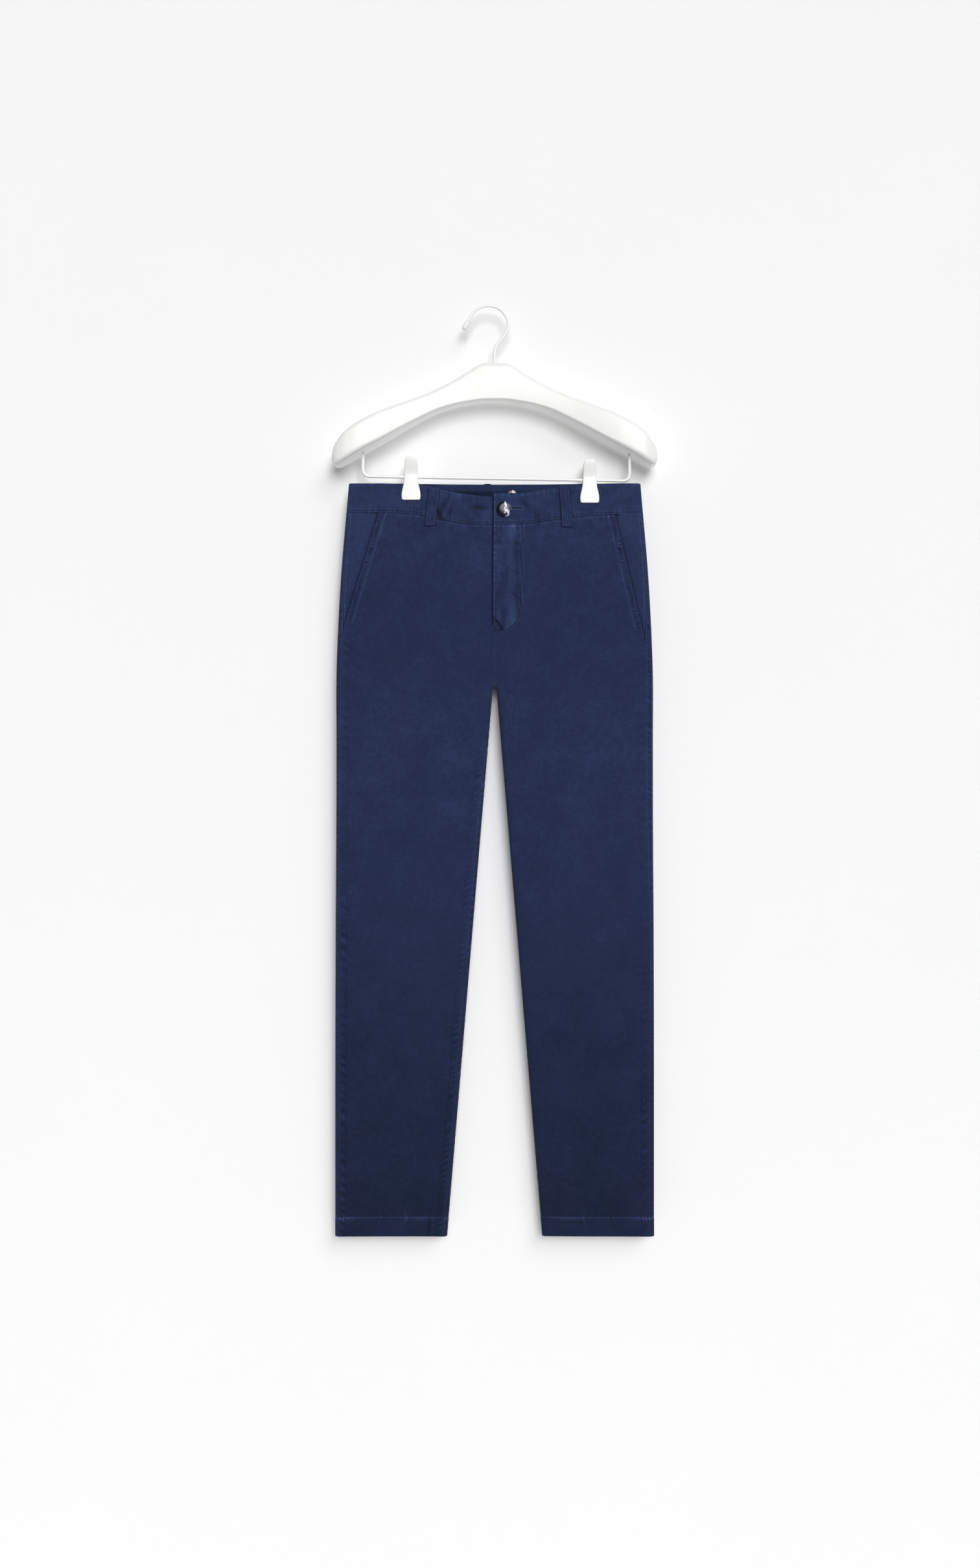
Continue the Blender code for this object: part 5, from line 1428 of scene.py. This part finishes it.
def fly_strip(name, outer_edge_x, width, sunk, thickness, length, material):
    """A strip that hangs behind the fly from just under the waist seam, and its middle line."""
    top = WAIST_Z - WAISTBAND_HEIGHT - RIGHT_SEAM_SAG[0] - 2 * SEAM_GAP
    z = (top - length * np.linspace(0, 1, STRIP_ROWS))[:, None]
    x = outer_edge_x - width * np.linspace(0, 1, STRIP_COLUMNS)[None, :]
    girth = girth_at(x, z)
    z = z + 0 * girth
    strip, outer = cloth_piece(name, material, LEFT, girth, z, sunk, sunk + thickness, 0 * girth)
    middle = STRIP_COLUMNS // 2
    out = -inward(LEFT, girth[:, middle], z[:, middle])
    return strip, outer[:, middle] - out * thickness / 2, out


zip_tape, *zip_middle = fly_strip("woven_zip_tape", ZIP_OUTER_X, ZIP_WIDTH, ZIP_SUNK, ZIP_THICKNESS,
                                  ZIP_LENGTH, zip_cloth())
dress(zip_tape, "zip_tape", "zip")
shield, *_ = fly_strip("twill_fly_shield", FLY_SHIELD_OUTER_X, FLY_SHIELD_WIDTH, FLY_SHIELD_SUNK,
                       FLY_SHIELD_THICKNESS, FLY_SHIELD_LENGTH, twill)
dress(shield, "navy_twill", "fly_shield")


# ----------------------------------------------------------------- belt loops
# Five folded strips of twill, edge-stitched, sewn down with bar tacks at the
# waistband's top edge and just below the waist seam.

LOOP_THICKNESS = 1.6 * MM
LOOP_CLEARANCE = 0.7 * MM
LOOP_SLACK = 1.0 * MM
LOOP_GROOVE = 2.2 * MM       # the edge-stitching lies this far in
LOOP_EDGE_ROUND = 0.7 * MM
BACK_LOOP_ROUND = 1.6 * MM   # how far the top corners fall away on the back
# Places across a loop, in mm, fine at both edges
LOOP_STEPS = np.concatenate([
    [0, 0.15, 0.4, 0.8, 1.3], np.arange(1.9, 11, 0.7), [11.5, 12, 12.4, 12.65, 12.8]]) * MM


def belt_loop(name, face, top_across, bottom_across, above):
    """A folded strip with a stitched groove along each edge."""
    side = RIGHT if top_across < 0 else LEFT
    top_dip = sag(TOP_SAG[side], top_across) if face == FRONT else 0
    seam_dip = sag(SEAM_SAG[side], bottom_across) if face == FRONT else 0
    top = WAIST_Z - top_dip + above
    bottom = WAIST_Z - WAISTBAND_HEIGHT - seam_dip - LOOP_BELOW_SEAM
    length = top - bottom
    share = (row_steps([(0, length / MM, 1.0)]) / length)[:, None]
    off = (LOOP_STEPS - LOOP_WIDTH / 2)[None, :]
    down, from_end = length * share, length * np.minimum(share, 1 - share)
    wobble = 0.35 * MM * drift_along(down, 14 * MM, 3, seed=400 + int(top_across / MM))
    x = side * (top_across + (bottom_across - top_across) * share) + off + wobble
    corners = (2 * np.abs(off) / LOOP_WIDTH) ** 3 * fading(down, 5 * MM)
    z = top + (bottom - top) * share - BACK_LOOP_ROUND * (face == BACK) * corners
    girth = girth_at(x, z) if face == FRONT else -girth_at(x, z)
    slack = LOOP_CLEARANCE + LOOP_SLACK * np.sin(math.pi * share) ** 2
    edge = np.minimum(LOOP_WIDTH / 2 - np.abs(off), from_end)
    groove = line(np.abs(off), LOOP_WIDTH / 2 - LOOP_GROOVE, 0.6 * MM)
    waves = ripple(down, 3.2 * MM, seed=411) * fading(edge, 2 * MM)
    relief = MM * (0.1 * waves - 0.25 * groove - 0.25 * fading(from_end, 3 * MM))
    # Tone: painted shade in the stitched grooves, and pale edges and pucker crests, partly worn dye and
    # partly painted highlight.
    tone = (0.35 * waves - 0.45 * groove + 0.5 * line(edge, 0.9 * MM, 0.8 * MM)
            + 0.1 * line(off, 0, 2 * MM) + BAND_WORN * worn(x, drop_of(z), seed=89))
    sunk = round_over(edge, LOOP_EDGE_ROUND) - relief - slack - LOOP_THICKNESS
    return cloth_piece(name, twill, side, girth, z, sunk, -slack, tone, (2, 2))


loops = {}
for loop_name, loop_face, loop_top, loop_bottom, loop_above in LOOP_ROWS:
    loop, loops[loop_name] = belt_loop(f"twill_loop_{loop_name}", loop_face, loop_top * MM,
                                       loop_bottom * MM, loop_above * MM)
    dress(loop, "navy_twill", f"belt_loop_{loop_name}")


# -------------------------------------------------------------------- buttons
# Turned horn, polished: one sewn on the left front waistband, and a smaller one on the
# tab behind it, whose rim stands above the sagging front edge.

BUTTON_RADIUS = 10.4 * MM
BUTTON_THICKNESS = 4.2 * MM
BUTTON_ACROSS = 12.9 * MM
BUTTON_Z = -278 * MM
BUTTON_TURN = math.radians(-12)  # how its marbling leans
INNER_BUTTON_RADIUS = 7 * MM
INNER_BUTTON_THICKNESS = 2.6 * MM
INNER_BUTTON_ACROSS = 23.5 * MM
INNER_BUTTON_TOP_Z = -250.6 * MM


def horn(name, dark, middle, pale, seat, turn):
    """Polished horn: glossy and dark, with a pale marbled band across it, partly the horn's grain and partly
    a painted highlight.
    """
    material, tree, shader = new_material(name, {"Roughness": 0.2, "IOR": 1.5, "Specular IOR Level": 0.25})
    place = add_node(tree, "ShaderNodeTexCoord").outputs["Object"]
    grain = add_node(tree, "ShaderNodeMapping", {
        "Vector": place, "Location": tuple(seat), "Rotation": turn}, vector_type="TEXTURE")
    swirl = add_node(tree, "ShaderNodeTexNoise", {"Vector": grain.outputs[0], "Scale": 140.0, "Detail": 5.0,
                                                  "Distortion": 0.5})
    # The ramp below is as long as 24 mm across the horn, pushed about by the swirl
    across = add_node(tree, "ShaderNodeSeparateXYZ", {0: grain.outputs[0]}).outputs["X"]
    spread = add_node(tree, "ShaderNodeMath", {0: across, 1: 42.0, 2: swirl.outputs[0]},
                      operation="MULTIPLY_ADD")
    tint = add_node(tree, "ShaderNodeValToRGB", {0: spread.outputs[0]})
    fill_ramp(tint.color_ramp, [(0.44, dark), (0.52, middle), (0.58, pale), (0.66, pale), (0.72, middle),
                                (0.8, dark), (0.9, middle)])
    bump = add_node(tree, "ShaderNodeBump", {"Height": swirl.outputs[0], "Strength": 0.2,
                                             "Distance": 0.6 * MM})
    tree.links.new(tint.outputs[0], shader.inputs["Base Color"])
    tree.links.new(bump.outputs[0], shader.inputs["Normal"])
    return material


# A button's outline, as shares of its radius and thickness: dished and domed, with a round rim
BUTTON_SHAPE = [(0, 1), (0.15, 0.995), (0.3, 0.98), (0.45, 0.955), (0.6, 0.92), (0.72, 0.88), (0.82, 0.83),
                (0.9, 0.76), (0.95, 0.69), (0.985, 0.6), (1, 0.48), (1, 0.36), (0.97, 0.18), (0.9, 0.05),
                (0.8, 0), (0, 0)]


def button(name, radius, thickness, seat, facing, material):
    """A turned button on its seat."""
    profile = [(share * radius, rise * thickness) for share, rise in BUTTON_SHAPE]
    return turned(name, profile, seat, facing, 48, material)


def surface_seat(side, x, z, sunk):
    """A point a given distance into the garment's front surface, and the way in there."""
    girth, height = np.array([girth_at(x, z)]), np.array([z])
    into = Vector(inward(side, girth, height)[0])
    return Vector(cloth(side, girth, height)[0]) + into * sunk, into


seat, into = surface_seat(LEFT, BUTTON_ACROSS, BUTTON_Z, -SEAM_GAP)
dark_horn = horn("polished_dark_horn", "#0b0c18", "#4a4c66", "#d9d6e6", seat, (0, BUTTON_TURN, 0))
front_button = button("horn_button", BUTTON_RADIUS, BUTTON_THICKNESS, seat, -into, dark_horn)
dress(front_button, "dark_horn", "button")
seat, into = surface_seat(LEFT, INNER_BUTTON_ACROSS, INNER_BUTTON_TOP_Z - INNER_BUTTON_RADIUS,
                          2 * (WAISTBAND_THICKNESS + SEAM_GAP))
pale_horn = horn("polished_pale_horn", "#1c1a20", "#5f5a62", "#c9c4c8", seat, (0, 0, 0))
tab_button = button("horn_button_inner", INNER_BUTTON_RADIUS, INNER_BUTTON_THICKNESS, seat, into, pale_horn)
dress(tab_button, "dark_horn", "inner_button")


# ------------------------------------------------------------------ stitching
# Core-spun polyester thread, dyed to match and a shade glossier than the twill: single
# rows beside the seams, bar tacks at the loops and pockets, and a worked buttonhole.

STITCH_LIFT = 0.05 * MM
STITCH_SEGMENTS, STITCH_RINGS = 6, 4
# How far apart the stitches of each kind of row lie, in mm
PITCH = {"band": 2.4, "pocket": 2.8, "hem": 3.3, "fly": 2.7, "loop": 2.6, "inside": 2.3, "zip": 1.5,
         "tack": 0.75, "buttonhole": 0.7}
CROSSWISE = ("inside", "zip", "tack", "buttonhole")  # these lie across their row
INSIDE_ROW_DROP = 5.2 * MM
BUTTONHOLE_SIDES = (-1.5 * MM, 1.5 * MM)
# The ends of a pocket mouth's bar tack: how far inwards and up from the mouth's end each lies
POCKET_TACK = np.array([(12, 4), (1.5, 2.5)]) * MM
# Where rows lie on their wall's grid, counted in from its edges
BAND_END_COLUMN, HEM_END_COLUMN, MOUTH_TOP_ROW = 6, 1, 3
LOOP_STITCH_COLUMN, LOOP_TACK_ROW = 6.4, 7.0


def stitch_tree(material):
    """Lays one thread-like bead on each point, along one attribute and standing on another."""
    tree, given, output = group("stitches", {
        "Geometry": ("Geometry", None), "Length": ("Float", 0.002), "Width": ("Float", 0.0005),
        "Height": ("Float", 0.0004)})
    along = add_node(tree, "GeometryNodeInputNamedAttribute", {"Name": "along"}, data_type="FLOAT_VECTOR")
    out = add_node(tree, "GeometryNodeInputNamedAttribute", {"Name": "out"}, data_type="FLOAT_VECTOR")
    turn = add_node(tree, "FunctionNodeAxesToRotation", {0: along.outputs[0], 1: out.outputs[0]},
                    primary_axis="X", secondary_axis="Z")
    bead = add_node(tree, "GeometryNodeMeshUVSphere", {
        "Segments": STITCH_SEGMENTS, "Rings": STITCH_RINGS, "Radius": 0.5})
    size = add_node(tree, "ShaderNodeCombineXYZ", {
        0: given["Length"], 1: given["Width"], 2: given["Height"]})
    laid = add_node(tree, "GeometryNodeInstanceOnPoints", {
        "Points": given["Geometry"], "Instance": bead.outputs[0], "Rotation": turn.outputs[0],
        "Scale": size.outputs[0]})
    close_tree(tree, output, laid.outputs[0], material)
    return tree


def thread(name, dark, pale):
    """Polyester thread: a soft gloss, with the twist of its ply, 0.35 mm apart, across it."""
    return mottled(name, {"Roughness": 0.6, "Specular IOR Level": 0.3}, (dark, pale),
                   {"Scale": 1 / (0.35 * MM), "Detail": 1.0})


def on_grid(grid, rows, places):
    """Points on a wall's grid at rows and columns that may fall between its own."""
    rows, places = np.broadcast_arrays(np.asarray(rows, float), np.asarray(places, float))
    row = np.clip(rows.astype(int), 0, grid.shape[0] - 2)
    column = np.clip(places.astype(int), 0, grid.shape[1] - 2)
    down, over = (rows - row)[..., None], (places - column)[..., None]
    high = grid[row, column] * (1 - over) + grid[row, column + 1] * over
    low = grid[row + 1, column] * (1 - over) + grid[row + 1, column + 1] * over
    return high * (1 - down) + low * down


def seam_on(grid, rows, places, away):
    """A line on a wall's grid, with the way out of the cloth along it."""
    points = on_grid(grid, rows, places)
    out = np.cross(on_grid(grid, rows + 0.5, places) - on_grid(grid, rows - 0.5, places),
                   on_grid(grid, rows, places + 0.5) - on_grid(grid, rows, places - 0.5))
    out /= np.linalg.norm(out, axis=-1, keepdims=True)
    return points, out * np.sign(out[len(out) // 2] @ np.array(away))


def on_panel(panel, path):
    """Rows and columns of a front panel under a run of places across and drops."""
    across = panel["outer"][..., 0] - CENTRE_X
    rows, places = [], []
    drops = drop_of(panel["z"])
    for x, drop in path:
        near = np.argmin((across - x) ** 2 + (drops - drop) ** 2)
        row, column = np.unravel_index(near, across.shape)
        rows.append(np.interp(drop, drops[:, column], np.arange(across.shape[0])))
        order = np.argsort(across[row])
        places.append(np.interp(x, across[row][order], np.arange(across.shape[1])[order]))
    return np.array(rows), np.array(places)


def sewn(kind, points, out):
    """The stitches of a kind of row along a line: their middles, directions and ways out."""
    pitch = PITCH[kind] * MM
    run = np.concatenate([[0], np.cumsum(np.linalg.norm(np.diff(points, axis=0), axis=1))])
    at = np.arange(0.5 * pitch, run[-1], pitch)

    def on_line(values, places):
        return np.stack([np.interp(places, run, values[:, axis]) for axis in range(3)], axis=-1)

    ways = on_line(out, at)
    along = on_line(points, at + 0.3 * pitch) - on_line(points, at - 0.3 * pitch)
    if kind in CROSSWISE:
        along = np.cross(ways, along)
    along /= np.linalg.norm(along, axis=-1, keepdims=True)
    return on_line(points, at) + ways * STITCH_LIFT, along, ways


def sewn_on(kind, grid, rows, places, away):
    """The stitches of a kind of row along a line on a wall's grid."""
    return sewn(kind, *seam_on(grid, rows, places, away))


def stitched(name, runs, tree, length, width, height, slot="navy_twill"):
    """Turns runs of stitches, of a length, width and height in mm, into one joined piece."""
    middle, along, out = (np.concatenate(parts) for parts in zip(*runs))
    source = bpy.data.meshes.new(name)
    source.from_pydata(middle, [], [])
    for attribute, values in (("along", along), ("out", out)):
        source.attributes.new(attribute, "FLOAT_VECTOR", "POINT").data.foreach_set("vector", values.ravel())
    sizes = {"Length": length * MM, "Width": width * MM, "Height": height * MM}
    dress(grown(name, tree, source, sizes), slot)


TO_FRONT, TO_BACK = (0, -1, 0), (0, 1, 0)
navy_stitch = stitch_tree(thread("navy_core_spun_thread", "#131a33", "#26325a"))
pale_stitch = stitch_tree(thread("faded_core_spun_thread", "#2b365c", "#445280"))
# The waistband's stitches are coloured darker than the thread is: painted shade of the groove they sink into.
shadowed_stitch = stitch_tree(thread("thread_dark_for_painted_shade", "#080b19", "#111830"))


def edge_column(distance):
    """The column of a wall that lies this far in from its first edge."""
    return np.interp(distance, EDGE_STEPS, np.arange(len(EDGE_STEPS)))


def band_row_at(drop):
    """The row of a waistband's wall at a drop below its top edge."""
    return np.interp(drop / WAISTBAND_HEIGHT, BAND_ROWS, np.arange(len(BAND_ROWS)))


seams, band_rows, waist, tacks, hems = [], [], [], [], []
band_row = band_row_at(WAISTBAND_HEIGHT - BAND_STITCH)
for side in SIDE_NAMES:
    panel, back, band = fronts[side], backs[side], bands[side]
    count = band["outer"].shape[1]
    stop = count - 1 - len(EDGE_STEPS) / 2
    if side == RIGHT:  # the tab is under the left front past the centre line
        stop = np.interp(0, -(band["outer"][-1, :, 0] - CENTRE_X)[::-1], np.arange(count)[::-1])
    band_rows.append(sewn_on("band", band["outer"], band_row, np.linspace(BAND_END_COLUMN, stop, 240),
                             TO_FRONT))
    mouth_rows = np.arange(MOUTH_TOP_ROW, np.searchsorted(panel["drops"], SLANT_END_DROP[side] - 2 * MM))
    for inset, rows in ((POCKET_STITCH, seams), (POCKET_BAND - POCKET_STITCH, waist)):
        column = edge_column(inset / POCKET_COSINE)
        rows.append(sewn_on("pocket", panel["outer"], mouth_rows, column, TO_FRONT))
    for sheet, away in ((panel, TO_FRONT), (back, TO_BACK)):
        row = np.interp(HEM_STITCH_DROP, sheet["drops"], np.arange(len(sheet["drops"])))
        places = np.linspace(HEM_END_COLUMN, sheet["outer"].shape[1] - 1 - HEM_END_COLUMN, 160)
        hems.append(sewn_on("hem", sheet["outer"], row, places, away))
    tack = (SLANT_END_X[side], SLANT_END_DROP[side]) - np.linspace(*POCKET_TACK, 12)
    tacks.append(sewn_on("tack", panel["outer"], *on_panel(panel, tack * (side, 1)), TO_FRONT))

front = fronts[LEFT]
for path in (J_STITCH, FLY_FOOT):
    length = np.concatenate([[0], np.cumsum(np.hypot(*np.diff(path, axis=0).T))])
    at = np.linspace(0, length[-1], 90)
    path = np.stack([curve_through(at, length, path[:, axis]) for axis in (0, 1)], axis=-1)
    path = path[path[:, 1] > WAISTBAND_HEIGHT + LEFT_SEAM_SAG[0] + 1 * MM]
    seams.append(sewn_on("fly", front["outer"], *on_panel(front, path), TO_FRONT))
(hole_start, hole_drop), (hole_end, _) = BUTTONHOLE
for offset in BUTTONHOLE_SIDES:
    half = np.linspace((hole_start, hole_drop + offset), (hole_end, hole_drop + offset), 20)
    waist.append(sewn_on("buttonhole", bands[LEFT]["outer"], *on_panel(bands[LEFT], half), TO_FRONT))
for (_, face, _, _, _), loop in zip(LOOP_ROWS, loops.values()):
    away = TO_FRONT if face == FRONT else TO_BACK
    last_row, last_column = loop.shape[0] - 1, loop.shape[1] - 1
    for column in (LOOP_STITCH_COLUMN, last_column - LOOP_STITCH_COLUMN):
        seams.append(sewn_on("loop", loop, np.linspace(2, last_row - 2, 60), column, away))
    for row in (LOOP_TACK_ROW, last_row - LOOP_TACK_ROW):
        tacks.append(sewn_on("tack", loop, row, np.linspace(2, last_column - 2, 30), away))
places = np.linspace(BAND_END_COLUMN, back_band_faces["outer"].shape[1] - 1 - BAND_END_COLUMN, 400)
band_rows.append(sewn_on("band", back_band_faces["outer"], band_row, places, TO_BACK))
inside = [sewn_on("inside", back_band_faces["inner"], band_row_at(INSIDE_ROW_DROP), places, TO_FRONT)]

# Each with its stitches' length, width and height, in mm
stitched("seam_stitching", seams, navy_stitch, 2.1, 0.6, 0.4)
stitched("band_stitching", band_rows, shadowed_stitch, 1.5, 0.9, 0.4)
stitched("waist_stitching", waist, pale_stitch, 1.5, 0.55, 0.4)
stitched("bar_tacks", tacks, navy_stitch, 2.2, 0.7, 0.5)
stitched("hem_stitching", hems, pale_stitch, 2.3, 0.9, 0.5)
stitched("inside_stitching", inside, navy_stitch, 5.5, 0.5, 0.35)
# The zip's closed nylon coil is woven into the middle of its tape
coil = stitch_tree(thread("nylon_zip_coil", "#15192a", "#232a44"))
stitched("zip_coil", [sewn("zip", *zip_middle)], coil, 4.2, 1.1, 1.4, "zip_tape")


# ---------------------------------------------------------------------- room
# A plain pale wall just behind the hanger and a pale floor well below the hems, with a
# broad soft light from the upper right, as in a small daylight studio.

WALL_Y = 31 * MM
FLOOR_Z = -2.4
ROOM_HALF_WIDTH = 4.5
ROOM_TOP = 3.0
ROOM_DEPTH = 16.0
CORNERS = ((-1, -1), (1, -1), (1, 1), (-1, 1))
DAYLIGHT = 0.13
CAMERA_PLACE = (-0.0009, -2.3, -0.651)
CAMERA_LENS, CAMERA_SENSOR = 38.66, 36  # in mm


def paint(name, dark, pale, see_through_back=False):
    """Matt emulsion paint, rolled on: a nearly even white with a faint roller stipple."""
    material = mottled(name, {"Roughness": 0.9, "Specular IOR Level": 0.1}, (dark, pale), {"Scale": 3.0},
                       {"Scale": 500.0}, strength=0.02, height=0.05 * MM)
    if see_through_back:
        tree = material.node_tree
        behind = add_node(tree, "ShaderNodeNewGeometry").outputs["Backfacing"]
        clear = add_node(tree, "ShaderNodeBsdfTransparent")
        painted = tree.nodes["Principled BSDF"].outputs[0]
        mix = add_node(tree, "ShaderNodeMixShader", {0: behind, 1: painted, 2: clear.outputs[0]})
        tree.links.new(mix.outputs[0], tree.nodes["Material Output"].inputs["Surface"])
    return material


def stage_plane(name, corners, material):
    """A flat backdrop that isn't part of the object."""
    mesh = bpy.data.meshes.new(name)
    mesh.from_pydata(corners, [], [(0, 1, 2, 3)])
    mesh.materials.append(material)
    in_scene(name, mesh)


stage_plane("pale_wall", [(side * ROOM_HALF_WIDTH, WALL_Y, FLOOR_Z if end < 0 else ROOM_TOP)
                          for side, end in CORNERS], paint("wall_emulsion", "#eeeeee", "#f0f0f0", True))
stage_plane("pale_floor", [(side * ROOM_HALF_WIDTH, end * ROOM_DEPTH, FLOOR_Z) for side, end in CORNERS],
            paint("floor_emulsion", "#cbcbca", "#cecece"))

world = bpy.data.worlds.new("daylight")
world.use_nodes = True
background = world.node_tree.nodes["Background"]
background.inputs["Color"].default_value = (1, 1, 1, 1)
background.inputs["Strength"].default_value = DAYLIGHT
bpy.context.scene.world = world
bpy.context.scene.view_settings.view_transform = "Standard"

# Each soft light: name, degrees right of and above straight ahead, its breadth in degrees,
# strength, and whether it casts shadows. The wall would keep the last one off the back.
LIGHTS = [("window", 7, 15, 28, 2.2, True), ("side_window", 28, 36, 28, 0.76, True),
          ("back_fill", 165, 9, 60, 1.9, False)]
for name, right, above, breadth, strength, shadow in LIGHTS:
    lamp = bpy.data.lights.new(name, "SUN")
    lamp.energy = strength
    lamp.use_shadow = shadow
    lamp.angle = math.radians(breadth)
    light = in_scene(name, lamp)
    light.rotation_euler = (math.radians(90 - above), 0, math.radians(right))

camera_data = bpy.data.cameras.new("camera")
camera_data.sensor_width = CAMERA_SENSOR
camera_data.lens = CAMERA_LENS
camera = in_scene("camera", camera_data)
camera.location = CAMERA_PLACE
camera.rotation_euler = (math.pi / 2, 0, 0)
bpy.context.scene.camera = camera
